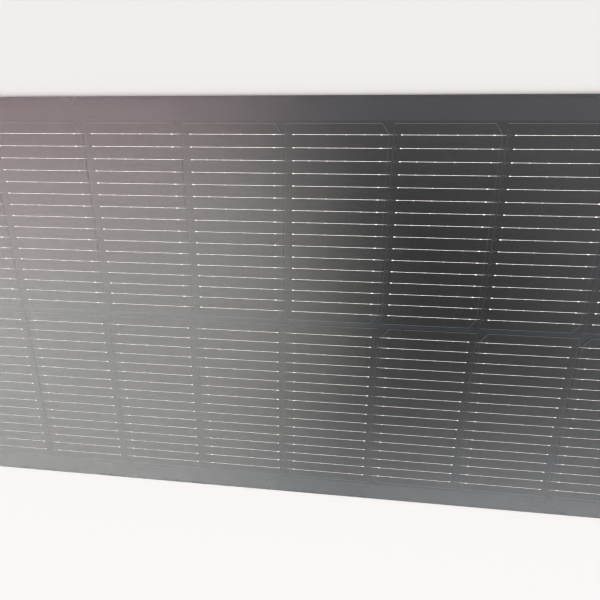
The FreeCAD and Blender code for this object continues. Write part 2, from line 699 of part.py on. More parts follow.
def make_terminal(label, mirrored):
    """One terminal, standing on the floor of the box."""
    body = new_body(label, **BOX_PLACE)
    turn = "-" if mirrored else ""
    plate = new_sketch(body, height="Sizes.box_floor")
    inner, outer = f"({turn}Sizes.terminal_inner)", f"({turn}Sizes.terminal_outer)"
    add_rectangle(plate, "Sizes.terminal_left", inner, "Sizes.terminal_right", outer)
    add_pad(body, plate, "Sizes.terminal_plate")
    clamp = new_sketch(body, height=PLATE_TOP_Z)
    clamp_inner = f"({turn}(Sizes.terminal_outer - Sizes.clamp_width))"
    clamp_right = "(Sizes.terminal_left + Sizes.clamp_width)"
    add_rectangle(clamp, "Sizes.terminal_left", clamp_inner, clamp_right, outer)
    add_pad(body, clamp, "Sizes.clamp_height")
    cable_hole = new_sketch(body, "XZ_Plane")
    add_circle(cable_hole, "Sizes.gland_x", "Sizes.gland_z", "Sizes.clamp_hole_radius")
    add_pocket(body, cable_hole, "Sizes.through_cut", centred=True)
    screw_hole = new_sketch(body, height="Sizes.gland_z")
    screw_y = f"({turn}(Sizes.terminal_outer - Sizes.clamp_width / 2))"
    add_circle(screw_hole, "Sizes.gland_x", screw_y, "Sizes.screw_hole_radius")
    add_pocket(body, screw_hole, "Sizes.through_cut", upwards=True)


make_terminal("positive_terminal", False)
make_terminal("negative_terminal", True)

screws = new_body("terminal_screws", **BOX_PLACE)
SCREW_Y = "(Sizes.terminal_outer - Sizes.clamp_width / 2)"
CLAMP_TOP = f"({PLATE_TOP_Z} + Sizes.clamp_height)"
screw_features = []
shank = new_sketch(screws, height=f"({CLAMP_TOP} - Sizes.screw_length)")
add_circle(shank, "Sizes.gland_x", SCREW_Y, "Sizes.screw_radius")
screw_features.append(add_pad(screws, shank, "Sizes.screw_length"))
head = new_sketch(screws, height=CLAMP_TOP)
add_circle(head, "Sizes.gland_x", SCREW_Y, "Sizes.screw_head_radius")
screw_features.append(add_pad(screws, head, "Sizes.screw_head_height"))
driver_slot = new_sketch(screws, height=f"({CLAMP_TOP} + Sizes.screw_head_height)")
add_rectangle(
    driver_slot,
    "(Sizes.gland_x - 2 * Sizes.screw_head_radius)",
    f"({SCREW_Y} - Sizes.screw_slot_width / 2)",
    "(Sizes.gland_x + 2 * Sizes.screw_head_radius)",
    f"({SCREW_Y} + Sizes.screw_slot_width / 2)",
)
screw_features.append(add_pocket(screws, driver_slot, "Sizes.screw_slot_depth"))
mirror_across(screws, screw_features, "XZ_Plane")

diode = new_body("bypass_diode", **BOX_PLACE)
diode_case = new_sketch(diode, height="Sizes.box_floor")
add_rectangle(
    diode_case, "Sizes.diode_left", "(-Sizes.diode_half)", "Sizes.diode_right", "Sizes.diode_half"
)
add_pad(diode, diode_case, "Sizes.diode_height")
diode_leads = new_sketch(diode, height=PLATE_TOP_Z)
add_rectangle(
    diode_leads,
    "Sizes.diode_lead_left",
    "(-Sizes.diode_lead_half)",
    "Sizes.diode_lead_right",
    "Sizes.diode_lead_half",
)
add_pad(diode, diode_leads, "Sizes.diode_lead_thickness")


# Cable glands, one in each end wall. Their pieces are drawn about the point where the
# line of both glands crosses the middle of the box.

GLAND_PLACE = {
    "x": f"({BOX_X} + Sizes.gland_x)",
    "z": f"({BOX_Z} + Sizes.gland_z)",
}
SPIGOT_END = f"({HALF_BOX_Y} + Sizes.gland_collar_length + Sizes.gland_spigot_length)"
SEAT_START = f"({SPIGOT_END} - Sizes.seal_length)"


def make_turned_pair(label, corners):
    """Two turned pieces, from a half-section of (distance along, radius) corners."""
    body = new_body(label, **GLAND_PLACE)
    section = new_sketch(body, "YZ_Plane")
    add_polygon(section, corners)
    turned = body.newObject("PartDesign::Revolution", "Revolution")
    turned.Profile = section
    turned.ReferenceAxis = (section, ["H_Axis"])
    turned.Angle = 360.0
    body.Tip = turned
    mirror_across(body, [turned], "XZ_Plane")


COLLAR_END = f"({HALF_BOX_Y} + Sizes.gland_collar_length)"
make_turned_pair("gland_bodies", [
    (HALF_ROOM_Y, "Sizes.gland_bore_radius"),
    (HALF_ROOM_Y, "Sizes.gland_tail_radius"),
    (HALF_BOX_Y, "Sizes.gland_tail_radius"),
    (HALF_BOX_Y, "Sizes.gland_collar_radius"),
    (COLLAR_END, "Sizes.gland_collar_radius"),
    (COLLAR_END, "Sizes.gland_tail_radius"),
    (SPIGOT_END, "Sizes.gland_tail_radius"),
    (SPIGOT_END, "Sizes.seal_seat_radius"),
    (SEAT_START, "Sizes.seal_seat_radius"),
    (SEAT_START, "Sizes.gland_bore_radius"),
])
make_turned_pair("gland_seals", [
    (SEAT_START, "Sizes.seal_bore_radius"),
    (SEAT_START, "Sizes.seal_radius"),
    (SPIGOT_END, "Sizes.seal_radius"),
    (SPIGOT_END, "Sizes.seal_bore_radius"),
])

nuts = new_body("gland_nuts", **GLAND_PLACE)
NUT_START = f"({SPIGOT_END} + Sizes.nut_end_gap + Sizes.nut_front - Sizes.nut_length)"
NUT_CORNER = "(Sizes.nut_flat_radius / cos(30deg))"
hexagon = new_sketch(nuts, "XZ_Plane", NUT_START)
add_polygon(hexagon, [
    (NUT_CORNER, "0"),
    (f"({NUT_CORNER} / 2)", "Sizes.nut_flat_radius"),
    (f"(-{NUT_CORNER} / 2)", "Sizes.nut_flat_radius"),
    (f"(-{NUT_CORNER})", "0"),
    (f"(-{NUT_CORNER} / 2)", "(-Sizes.nut_flat_radius)"),
    (f"({NUT_CORNER} / 2)", "(-Sizes.nut_flat_radius)"),
])
nut_features = [add_pad(nuts, hexagon, "Sizes.nut_length")]
for radius, depth in (
    ("Sizes.nut_bore_radius", "(Sizes.nut_length - Sizes.nut_front)"),
    ("Sizes.nut_mouth_radius", "Sizes.through_cut"),
):
    nut_hole = new_sketch(nuts, "XZ_Plane", NUT_START)
    add_circle(nut_hole, "0", "0", radius)
    nut_features.append(add_pocket(nuts, nut_hole, depth, upwards=True))
mirror_across(nuts, nut_features, "XZ_Plane")


# Every object is sound before anything is written.

doc.recompute()
for item in doc.Objects:
    if any(word in ("Invalid", "Error") for word in item.State):
        raise RuntimeError(f"{item.Label} failed: {item.State}")

subparts = [item for item in doc.Objects if item.TypeId == "PartDesign::Body"]
subparts.append(hinge_pin)
for item in subparts:
    if item.Shape.isNull() or not item.Shape.isValid():
        raise RuntimeError(f"{item.Label} has no valid shape")

os.makedirs("parts", exist_ok=True)
for item in subparts:
    item.Shape.exportStep(f"parts/{item.Label}.step")
    print(item.Label, len(item.Shape.Solids), round(item.Shape.Volume, 2))
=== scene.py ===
"""Flexible solar sheet: finishes, fine detail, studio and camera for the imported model.

Lengths are metres in the model's own frame: +X runs along the sheet, +Y across it and +Z out
of the face that meets the sun.
"""

import logging
import math
from dataclasses import dataclass
from enum import Enum
from typing import Any

import bmesh
import bpy
from mathutils import Matrix, Vector, noise


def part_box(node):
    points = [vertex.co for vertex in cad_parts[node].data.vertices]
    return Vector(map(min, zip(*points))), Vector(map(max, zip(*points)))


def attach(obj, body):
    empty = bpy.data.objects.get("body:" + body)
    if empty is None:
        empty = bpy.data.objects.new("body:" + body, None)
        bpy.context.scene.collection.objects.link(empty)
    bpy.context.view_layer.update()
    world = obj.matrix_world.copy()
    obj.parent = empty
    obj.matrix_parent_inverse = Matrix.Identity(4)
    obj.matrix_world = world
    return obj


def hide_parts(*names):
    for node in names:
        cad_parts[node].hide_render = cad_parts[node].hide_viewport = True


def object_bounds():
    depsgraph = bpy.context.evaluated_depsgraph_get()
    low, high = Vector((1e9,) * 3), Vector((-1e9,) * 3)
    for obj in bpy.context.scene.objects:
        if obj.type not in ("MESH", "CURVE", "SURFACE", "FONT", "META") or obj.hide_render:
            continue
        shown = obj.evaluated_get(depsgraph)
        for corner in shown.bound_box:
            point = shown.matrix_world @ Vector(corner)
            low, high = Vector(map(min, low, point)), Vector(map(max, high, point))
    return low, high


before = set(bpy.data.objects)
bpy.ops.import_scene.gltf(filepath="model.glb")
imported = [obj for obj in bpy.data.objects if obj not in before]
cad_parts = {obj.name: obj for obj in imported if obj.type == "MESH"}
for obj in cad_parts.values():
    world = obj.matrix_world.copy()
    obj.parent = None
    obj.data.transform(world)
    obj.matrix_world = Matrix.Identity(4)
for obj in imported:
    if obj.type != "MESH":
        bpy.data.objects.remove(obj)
CAD_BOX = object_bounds()

log = logging.getLogger("solar_sheet")

MM = 0.001
Point = tuple[float, float, float]
Pair = tuple[float, float]
Colour = tuple[float, float, float]
Socket = bpy.types.NodeSocket
Material = bpy.types.Material


class Body(Enum):
    """The two bodies that pieces ride on."""

    SHEET = "sheet"
    LID = "lid"


class Row(Enum):
    """The two rows of cells. Row B is row A turned half a turn."""

    A = "a"
    B = "b"

    @property
    def turn(self) -> float:
        """Angle of the row's cells about +Z, in radians."""
        return 0.0 if self is Row.A else math.pi

    @property
    def direction(self) -> float:
        """+1 where the cut corners are at the +X end of a cell, -1 at the other."""
        return 1.0 if self is Row.A else -1.0


# Node trees.


class Graph:
    """A node tree with short calls that add and wire nodes."""

    def __init__(self, tree: bpy.types.NodeTree) -> None:
        """Hold the tree that the nodes go into."""
        self.tree = tree

    def feed(self, socket: Socket, value: Any) -> None:
        """Wire a socket to another one, or set its own value.

        Args:
            socket: The input to fill.
            value: An output socket, a node whose first output is meant, a colour or a plain value.
        """
        if isinstance(value, bpy.types.Node):
            value = value.outputs[0]
        if isinstance(value, Socket):
            self.tree.links.new(value, socket)
        elif socket.type == "RGBA":
            socket.default_value = (*value, 1.0)
        else:
            socket.default_value = value

    def add(self, kind: str, inputs: dict[Any, Any] | None = None, **settings: Any) -> bpy.types.Node:
        """Add one node.

        Args:
            kind: The node's type name.
            inputs: Values or sockets by input name or number.
            **settings: Properties of the node itself.

        Returns:
            The new node.
        """
        node = self.tree.nodes.new(kind)
        for name, value in settings.items():
            setattr(node, name, value)
        for key, value in (inputs or {}).items():
            self.feed(node.inputs[key], value)
        return node

    def math(self, operation: str, *values: Any) -> Socket:
        """The result of a Math node, from its operation and its operands in order."""
        return self.add("ShaderNodeMath", dict(enumerate(values)), operation=operation).outputs[0]

    def remap(self, value: Any, source: Pair, target: Pair = (0.0, 1.0)) -> Socket:
        """A value eased from one range to another, and held at the ends.

        Args:
            value: The value to carry over.
            source: The two ends of its own range.
            target: What those ends become.

        Returns:
            The new value.
        """
        inputs = {0: value, 1: source[0], 2: source[1], 3: target[0], 4: target[1]}
        return self.add("ShaderNodeMapRange", inputs, interpolation_type="SMOOTHSTEP").outputs[0]

    def blend(self, factor: Any, first: Any, second: Any) -> Socket:
        """A colour between two others: the first one where the factor is 0, the second where it is 1."""
        return self.add("ShaderNodeMix", {0: factor, 6: first, 7: second}, data_type="RGBA").outputs[2]

    def place(self, scale: Point = (1.0, 1.0, 1.0)) -> Socket:
        """The object's own coordinates, stretched by a scale along each axis."""
        coordinates = self.add("ShaderNodeTexCoord").outputs["Object"]
        if scale == (1.0, 1.0, 1.0):
            return coordinates
        return self.add("ShaderNodeMapping", {"Vector": coordinates, "Scale": scale}).outputs[0]

    def noise(self, scale: float, detail: float = 2.0, stretch: Point = (1.0, 1.0, 1.0)) -> Socket:
        """Smooth noise on the object's coordinates.

        Args:
            scale: Patches in a metre.
            detail: Octaves of finer noise.
            stretch: Scale of the coordinates along each axis.

        Returns:
            The noise, about 0.5.
        """
        inputs = {"Vector": self.place(stretch), "Scale": scale, "Detail": detail}
        return self.add("ShaderNodeTexNoise", inputs).outputs["Fac"]

    def grain(self, scale: float) -> Socket:
        """Distance to the nearest of many scattered points, for pebbled surfaces."""
        inputs = {"Vector": self.place(), "Scale": scale}
        return self.add("ShaderNodeTexVoronoi", inputs).outputs["Distance"]

    def bump(self, height: Any, depth: float, ground: Any = None) -> Socket:
        """A normal from a height pattern.

        Args:
            height: The pattern, from 0 to 1.
            depth: What 1 stands for, in metres.
            ground: A normal that the pattern lies on, or None for the surface's own.

        Returns:
            The bumped normal.
        """
        inputs = {"Height": height, "Distance": depth}
        if ground is not None:
            inputs["Normal"] = ground
        return self.add("ShaderNodeBump", inputs).outputs[0]

    def soft_edges(self, radius: float) -> tuple[Socket, Socket]:
        """Edges that look rounded.

        Args:
            radius: How far the rounding reaches.

        Returns:
            The rounded normal, and 1 on the edges falling to 0 away from them.
        """
        rounded = self.add("ShaderNodeBevel", {"Radius": radius}, samples=4).outputs[0]
        own = self.add("ShaderNodeNewGeometry").outputs["Normal"]
        aligned = self.add("ShaderNodeVectorMath", {0: rounded, 1: own}, operation="DOT_PRODUCT")
        return rounded, self.remap(aligned.outputs["Value"], (0.995, 0.8), (0.0, 1.0))

    def axis(self, number: int) -> Socket:
        """One of the object's own coordinates: 0 for X, 1 for Y and 2 for Z."""
        return self.add("ShaderNodeSeparateXYZ", {0: self.place()}).outputs[number]

    def principled(self, **inputs: Any) -> Socket:
        """A Principled shader, its inputs named with underscores for spaces."""
        named = {name.replace("_", " "): value for name, value in inputs.items()}
        return self.add("ShaderNodeBsdfPrincipled", named).outputs[0]


def blank_graph(owner: Any) -> Graph:
    """The node tree of a material or world, emptied."""
    owner.use_nodes = True
    owner.node_tree.nodes.clear()
    return Graph(owner.node_tree)


@dataclass(frozen=True)
class Finish:
    """A surface finish: a recipe that makes one material."""

    name: str

    def surface(self, graph: Graph) -> Socket:
        """Add the finish's nodes to a tree and return its shader."""
        raise NotImplementedError

    def make(self) -> Material:
        """Make a new material with this finish's nodes."""
        material = bpy.data.materials.new(self.name)
        graph = blank_graph(material)
        graph.add("ShaderNodeOutputMaterial", {"Surface": self.surface(graph)})
        return material

    def dress(self, *nodes: str) -> Material:
        """Make the material and give it to CAD nodes.

        Args:
            *nodes: Names of the nodes.

        Returns:
            The new material.
        """
        material = self.make()
        for node in nodes:
            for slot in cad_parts[node].material_slots:
                slot.material = material
            log.info("%s: dressed in %s", node, material.name)
        return material


@dataclass(frozen=True)
class ClearFilm(Finish):
    """Clear front film, with a trace of haze and one faint scratch on its outer face.

    Its gloss is part of the bonded finishes below it, which it is laminated to.
    """

    face_height: float = 2.45 * MM
    haze: Colour = (0.80, 0.82, 0.84)
    most_haze: float = 0.0015
    scratch_share: float = 0.07
    scratch_centre: tuple[float, float] = (0.1766, 0.1553)
    scratch_angle: float = math.radians(-40.0)
    scratch_half_length: float = 12.0 * MM
    scratch_half_width: float = 0.22 * MM

    def scratch(self, graph: Graph) -> Socket:
        """A faint fine scratch: 1 on its line and 0 elsewhere."""
        inputs = {
            "Vector": graph.place(),
            "Location": (*self.scratch_centre, 0.0),
            "Rotation": (0.0, 0.0, self.scratch_angle),
        }
        mapping = graph.add("ShaderNodeMapping", inputs, vector_type="TEXTURE")
        axes = graph.add("ShaderNodeSeparateXYZ", {0: mapping})
        along = graph.math("ABSOLUTE", axes.outputs[0])
        across = graph.math("ABSOLUTE", axes.outputs[1])
        ends = graph.remap(along, (self.scratch_half_length, 0.5 * self.scratch_half_length))
        line = graph.remap(across, (self.scratch_half_width, 0.0))
        return graph.math("MULTIPLY", ends, line)

    def surface(self, graph: Graph) -> Socket:
        """Haze and scratch on the outer face alone, and nothing to see on the inner ones."""
        outer = graph.math("GREATER_THAN", graph.axis(2), self.face_height)
        haze = graph.remap(graph.noise(18.0, 4.0), (0.35, 0.7), (0.0, self.most_haze))
        marked = graph.math("MULTIPLY_ADD", self.scratch(graph), self.scratch_share, haze)
        clear = graph.add("ShaderNodeBsdfTransparent")
        pale = graph.add("ShaderNodeBsdfDiffuse", {"Color": self.haze})
        inputs = {0: graph.math("MULTIPLY", marked, outer), 1: clear, 2: pale}
        return graph.add("ShaderNodeMixShader", inputs).outputs[0]


@dataclass(frozen=True)
class BondedFinish(Finish):
    """A finish seen through the film that is laminated to it.

    The film's face gives the gloss, with the slow ripples that it has from lamination.
    """

    film_roughness: float = 0.2
    film_ior: float = 1.5
    ripples_per_metre: float = 14.0
    ripple_depth: float = 0.25 * MM
    ripple_stretch: Point = (1.0, 1.6, 1.0)

    def under_film(self, graph: Graph, **inputs: Any) -> Socket:
        """A Principled shader under the film's gloss.

        Args:
            graph: The tree that the shader goes into.
            **inputs: The shader's other inputs.

        Returns:
            The shader.
        """
        ripples = graph.noise(self.ripples_per_metre, 1.0, self.ripple_stretch)
        return graph.principled(
            Coat_Weight=1.0,
            Coat_Roughness=self.film_roughness,
            Coat_IOR=self.film_ior,
            Coat_Normal=graph.bump(ripples, self.ripple_depth),
            **inputs,
        )


@dataclass(frozen=True)
class ClearFilling(Finish):
    """Clear encapsulant with a trace of milkiness."""

    tint: Colour = (0.985, 0.99, 0.985)
    milk: Colour = (0.75, 0.78, 0.8)
    most_milk: float = 0.0015

    def surface(self, graph: Graph) -> Socket:
        """A clear shader with a thin uneven veil."""
        veil = graph.remap(graph.noise(60.0, 3.0), (0.3, 0.7), (0.0, self.most_milk))
        clear = graph.add("ShaderNodeBsdfTransparent", {"Color": self.tint})
        milky = graph.add("ShaderNodeBsdfDiffuse", {"Color": self.milk})
        return graph.add("ShaderNodeMixShader", {0: veil, 1: clear, 2: milky}).outputs[0]


@dataclass(frozen=True)
class CoatedSilicon(BondedFinish):
    """Black silicon with an antireflective coating and fine printed fingers.

    Each cell has a shade of its own.
    """

    dark: Colour = (0.0026, 0.0027, 0.0030)
    light: Colour = (0.0046, 0.0047, 0.0050)
    finger: Colour = (0.0080, 0.0082, 0.0085)
    finger_pitch: float = 1.3 * MM
    finger_reach: float = 0.32 * MM
    column_pitch: float = 92.5 * MM
    row_start: float = -799.25 * MM
    streaks_per_metre: float = 9.0
    streak_stretch: Point = (26.0, 1.0, 1.0)
    mottle_per_metre: float = 45.0
    shares: Point = (0.4, 0.5, 0.3)

    def surface(self, graph: Graph) -> Socket:
        """Nearly black, with a faint tone for each cell and streaks across it."""
        along = graph.axis(0)
        offset = graph.math("SUBTRACT", along, self.row_start)
        column = graph.math("FLOOR", graph.math("DIVIDE", offset, self.column_pitch))
        which = graph.add("ShaderNodeCombineXYZ", {0: column, 1: graph.math("SIGN", graph.axis(1))})
        tone = graph.add("ShaderNodeTexWhiteNoise", {"Vector": which}).outputs["Value"]
        streaks = graph.noise(self.streaks_per_metre, 3.0, self.streak_stretch)
        mottle = graph.noise(self.mottle_per_metre, 4.0)
        by_tone, by_streaks, by_mottle = self.shares
        mixed = graph.math("MULTIPLY_ADD", streaks, by_streaks, graph.math("MULTIPLY", tone, by_tone))
        shade = graph.math("MULTIPLY_ADD", mottle, by_mottle, mixed)
        swing = graph.math("PINGPONG", along, 0.5 * self.finger_pitch)
        fingers = graph.remap(swing, (self.finger_reach, 0.0))
        silicon = graph.blend(shade, self.dark, self.light)
        return self.under_film(
            graph,
            Base_Color=graph.blend(fingers, silicon, self.finger),
            Roughness=graph.remap(mottle, (0.3, 0.7), (0.36, 0.46)),
            Specular_IOR_Level=0.04,
            Specular_Tint=(0.9, 1.0, 0.96),
        )


@dataclass(frozen=True)
class BlackFilling(BondedFinish):
    """Black encapsulant behind the cells, which shows in the slits and in the borders."""

    slit: Colour = (0.0050, 0.0055, 0.0060)
    row_gap: Colour = (0.0060, 0.0092, 0.0115)
    border: Colour = (0.0125, 0.0135, 0.0150)
    row_gap_ends: Pair = (2.2 * MM, 3.5 * MM)
    border_from: Pair = (184.0 * MM, 187.0 * MM)

    def surface(self, graph: Graph) -> Socket:
        """A slightly uneven black, paler in the borders and bluish between the rows."""
        patches = graph.remap(graph.noise(7.0, 4.0), (0.3, 0.7))
        across = graph.math("ABSOLUTE", graph.axis(1))
        inner = graph.blend(graph.remap(across, self.row_gap_ends), self.row_gap, self.slit)
        tone = graph.blend(graph.remap(across, self.border_from), inner, self.border)
        darker = graph.add("ShaderNodeHueSaturation", {"Value": 0.8, "Color": tone})
        return self.under_film(
            graph,
            Base_Color=graph.blend(patches, darker, tone),
            Roughness=graph.remap(patches, (0.0, 1.0), (0.5, 0.42)),
            Specular_IOR_Level=0.04,
        )


@dataclass(frozen=True)
class GlassFibreBoard(Finish):
    """Dark resin board with the crossing strands of its glass fibres."""

    dark: Colour = (0.010, 0.012, 0.012)
    light: Colour = (0.032, 0.035, 0.033)
    strands_per_metre: float = 420.0
    strand_depth: float = 0.004 * MM

    def surface(self, graph: Graph) -> Socket:
        """Fine crossing strands in a nearly black ground."""
        along = graph.noise(self.strands_per_metre, 2.0, (0.18, 1.0, 1.0))
        across = graph.noise(self.strands_per_metre, 2.0, (1.0, 0.18, 1.0))
        weave = graph.math("MAXIMUM", along, across)
        fibres = graph.remap(weave, (0.5, 0.8), (0.0, 0.6))
        shade = graph.math("MULTIPLY_ADD", graph.noise(6.0, 3.0), 0.5, fibres)
        return graph.principled(
            Base_Color=graph.blend(shade, self.dark, self.light),
            Roughness=graph.remap(weave, (0.4, 0.8), (0.5, 0.38)),
            Normal=graph.bump(weave, self.strand_depth),
        )


@dataclass(frozen=True)
class PebbledSheet(Finish):
    """Matt black rear sheet with a pebbled face."""

    dark: Colour = (0.012, 0.012, 0.013)
    light: Colour = (0.024, 0.024, 0.026)
    pebbles_per_metre: float = 900.0
    pebble_depth: float = 0.06 * MM
    waves_per_metre: float = 16.0
    wave_depth: float = 0.6 * MM
    dust_per_metre: float = 11.0

    def surface(self, graph: Graph) -> Socket:
        """Small pebbles over slow waves, with dusty patches."""
        pebbles = graph.grain(self.pebbles_per_metre)
        waves = graph.bump(graph.noise(self.waves_per_metre), self.wave_depth)
        dust = graph.noise(self.dust_per_metre, 6.0)
        shade = graph.math("MULTIPLY_ADD", pebbles, 0.4, graph.remap(dust, (0.35, 0.7), (0.0, 0.6)))
        return graph.principled(
            Base_Color=graph.blend(shade, self.dark, self.light),
            Roughness=graph.remap(dust, (0.3, 0.7), (0.5, 0.66)),
            Specular_IOR_Level=0.4,
            Normal=graph.bump(pebbles, self.pebble_depth, waves),
        )


@dataclass(frozen=True)
class Metal(Finish):
    """Soft bright metal: tinned copper, solder, brass or steel."""

    clean: Colour
    dull: Colour
    polish: float
    matt: float
    patches_per_metre: float
    grain_depth: float = 0.01 * MM
    metallic: float = 1.0

    def surface(self, graph: Graph) -> Socket:
        """Patches of duller metal over fine drawn grain."""
        patches = graph.noise(self.patches_per_metre, 4.0)
        tarnish = graph.remap(patches, (0.35, 0.7))
        return graph.principled(
            Base_Color=graph.blend(tarnish, self.clean, self.dull),
            Metallic=self.metallic,
            Roughness=graph.remap(patches, (0.35, 0.7), (self.polish, self.matt)),
            Normal=graph.bump(graph.noise(6.0 * self.patches_per_metre, 2.0), self.grain_depth),
        )


@dataclass(frozen=True)
class PrintedInk(BondedFinish):
    """Silver ink fired on the cells, greyed by the layers above it."""

    clean: Colour = (0.078, 0.088, 0.100)
    dull: Colour = (0.060, 0.068, 0.078)
    patches_per_metre: float = 400.0

    def surface(self, graph: Graph) -> Socket:
        """Slightly uneven ink under the film's gloss."""
        patches = graph.remap(graph.noise(self.patches_per_metre, 3.0), (0.35, 0.7))
        return self.under_film(
            graph,
            Base_Color=graph.blend(patches, self.clean, self.dull),
            Roughness=graph.remap(patches, (0.0, 1.0), (0.4, 0.55)),
            Specular_IOR_Level=0.1,
        )


@dataclass(frozen=True)
class MouldedPlastic(Finish):
    """Black moulded plastic with a spark-eroded face, paler where it is rubbed."""

    dark: Colour = (0.010, 0.010, 0.011)
    light: Colour = (0.022, 0.022, 0.024)
    grain_per_metre: float = 2200.0
    grain_depth: float = 0.03 * MM
    flow_per_metre: float = 35.0
    rubbing_per_metre: float = 260.0
    gloss: float = 0.5
    matt: float = 0.62
    edge_radius: float = 0.5 * MM

    def surface(self, graph: Graph) -> Socket:
        """Fine grain, slow flow marks and rubbed patches."""
        grain = graph.noise(self.grain_per_metre, 2.0)
        flow = graph.noise(self.flow_per_metre, 5.0, (1.0, 0.4, 1.0))
        rounded, edges = graph.soft_edges(self.edge_radius)
        patches = graph.remap(graph.noise(self.rubbing_per_metre, 5.0), (0.3, 0.7), (0.3, 1.0))
        rubbed = graph.math("MULTIPLY", edges, patches)
        shade = graph.math("MULTIPLY_ADD", flow, 0.4, rubbed)
        return graph.principled(
            Base_Color=graph.blend(shade, self.dark, self.light),
            Roughness=graph.remap(flow, (0.3, 0.7), (self.gloss, self.matt)),
            Specular_IOR_Level=0.45,
            Normal=graph.bump(grain, self.grain_depth, rounded),
        )


@dataclass(frozen=True)
class Rubber(Finish):
    """Matt seal rubber with a powdery bloom."""

    dark: Colour = (0.018, 0.018, 0.019)
    bloom: Colour = (0.05, 0.05, 0.052)
    bloom_per_metre: float = 140.0
    grain_per_metre: float = 1500.0
    grain_depth: float = 0.02 * MM

    def surface(self, graph: Graph) -> Socket:
        """A dark matt ground with pale dust in patches."""
        dust = graph.remap(graph.noise(self.bloom_per_metre, 6.0), (0.4, 0.75))
        return graph.principled(
            Base_Color=graph.blend(dust, self.dark, self.bloom),
            Roughness=graph.remap(dust, (0.0, 1.0), (0.62, 0.85)),
            Specular_IOR_Level=0.3,
            Normal=graph.bump(graph.noise(self.grain_per_metre, 3.0), self.grain_depth),
        )


@dataclass(frozen=True)
class Sealant(Finish):
    """Black silicone, smooth and slightly uneven from tooling."""

    dark: Colour = (0.010, 0.010, 0.011)
    light: Colour = (0.020, 0.020, 0.021)
    lumps_per_metre: float = 320.0
    lump_depth: float = 0.15 * MM

    def surface(self, graph: Graph) -> Socket:
        """A satin skin with soft lumps."""
        lumps = graph.noise(self.lumps_per_metre, 3.0)
        return graph.principled(
            Base_Color=graph.blend(lumps, self.dark, self.light),
            Roughness=graph.remap(lumps, (0.3, 0.7), (0.28, 0.42)),
            Normal=graph.bump(lumps, self.lump_depth),
        )


@dataclass(frozen=True)
class BandedCase(Finish):
    """Black epoxy diode case with a pale band that marks its polarity."""

    dark: Colour = (0.016, 0.016, 0.017)
    band: Colour = (0.46, 0.46, 0.45)
    band_low: float = 3.6 * MM
    band_high: float = 5.0 * MM
    wear: float = 0.3 * MM
    wear_per_metre: float = 1800.0
    grain_per_metre: float = 3000.0
    grain_depth: float = 0.02 * MM

    def surface(self, graph: Graph) -> Socket:
        """A band across the case, worn at its edges."""
        worn = graph.noise(self.wear_per_metre, 3.0)
        ragged = graph.math("MULTIPLY_ADD", worn, self.wear, graph.axis(1))
        above = graph.math("GREATER_THAN", ragged, self.band_low)
        below = graph.math("LESS_THAN", ragged, self.band_high)
        marked = graph.math("MULTIPLY", above, below)
        return graph.principled(
            Base_Color=graph.blend(marked, self.dark, self.band),
            Roughness=graph.remap(graph.noise(500.0, 3.0), (0.3, 0.7), (0.42, 0.58)),
            Normal=graph.bump(graph.noise(self.grain_per_metre), self.grain_depth),
        )


# Pieces and the Geometry Nodes that make them.


def new_piece(name: str, mesh: bpy.types.Mesh) -> bpy.types.Object:
    """An object at the origin that shows a mesh."""
    piece = bpy.data.objects.new(name, mesh)
    bpy.context.scene.collection.objects.link(piece)
    return piece


def settle(piece: bpy.types.Object, body: Body, slot: str, *nodes: str) -> None:
    """Hand a finished piece to the model.

    Args:
        piece: The piece, in place.
        body: The body that it rides on.
        slot: The material slot whose finish it shares. Not used.
        *nodes: CAD nodes that it stands for.
    """
    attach(piece, body.value)
    if nodes:
        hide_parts(*nodes)
    piece.data.calc_loop_triangles()
    log.info("%s: %d triangles, rides on %s", piece.name, len(piece.data.loop_triangles), body.value)


def line_mesh(name: str, lines: list[list[Point]], thickness: list[float] | None = None) -> bpy.types.Mesh:
    """A mesh of bare edges.

    Args:
        name: The mesh's name.
        lines: Runs of points. A run that ends where it starts is closed.
        thickness: Share of the full section at each point, or None for the full section.

    Returns:
        The mesh.
    """
    points: list[Point] = []
    edges: list[tuple[int, int]] = []
    for line in lines:
        first = len(points)
        closed = line[0] == line[-1]
        points += line[:-1] if closed else line
        last = len(points) - 1
        edges += [(index, index + 1) for index in range(first, last)]
        if closed:
            edges.append((last, first))
    mesh = bpy.data.meshes.new(name)
    mesh.from_pydata(points, edges, [])
    shares = mesh.attributes.new("thickness", "FLOAT", "POINT")
    shares.data.foreach_set("value", thickness or [1.0] * len(points))
    return mesh


def point_mesh(points: list[Point]) -> bpy.types.Mesh:
    """A mesh of bare points."""
    mesh = bpy.data.meshes.new("points")
    mesh.from_pydata(points, [], [])
    return mesh


def ringed_piece(name: str, bodies: list[list[list[Point]]], material: Material) -> bpy.types.Object:
    """A piece whose closed bodies are each a stack of rings, the last one joined to the first.

    Args:
        name: The piece's name.
        bodies: The rings of points of each body, all as long.
        material: Its finish.

    Returns:
        The piece.
    """
    shape = bmesh.new()
    for rings in bodies:
        corners = [[shape.verts.new(point) for point in ring] for ring in rings]
        for ring, following in zip(corners, [*corners[1:], corners[0]]):
            for index, vertex in enumerate(ring):
                after = (index + 1) % len(ring)
                shape.faces.new((vertex, ring[after], following[after], following[index]))
    bmesh.ops.recalc_face_normals(shape, faces=shape.faces)
    mesh = bpy.data.meshes.new(name)
    shape.to_mesh(mesh)
    shape.free()
    mesh.materials.append(material)
    return new_piece(name, mesh)


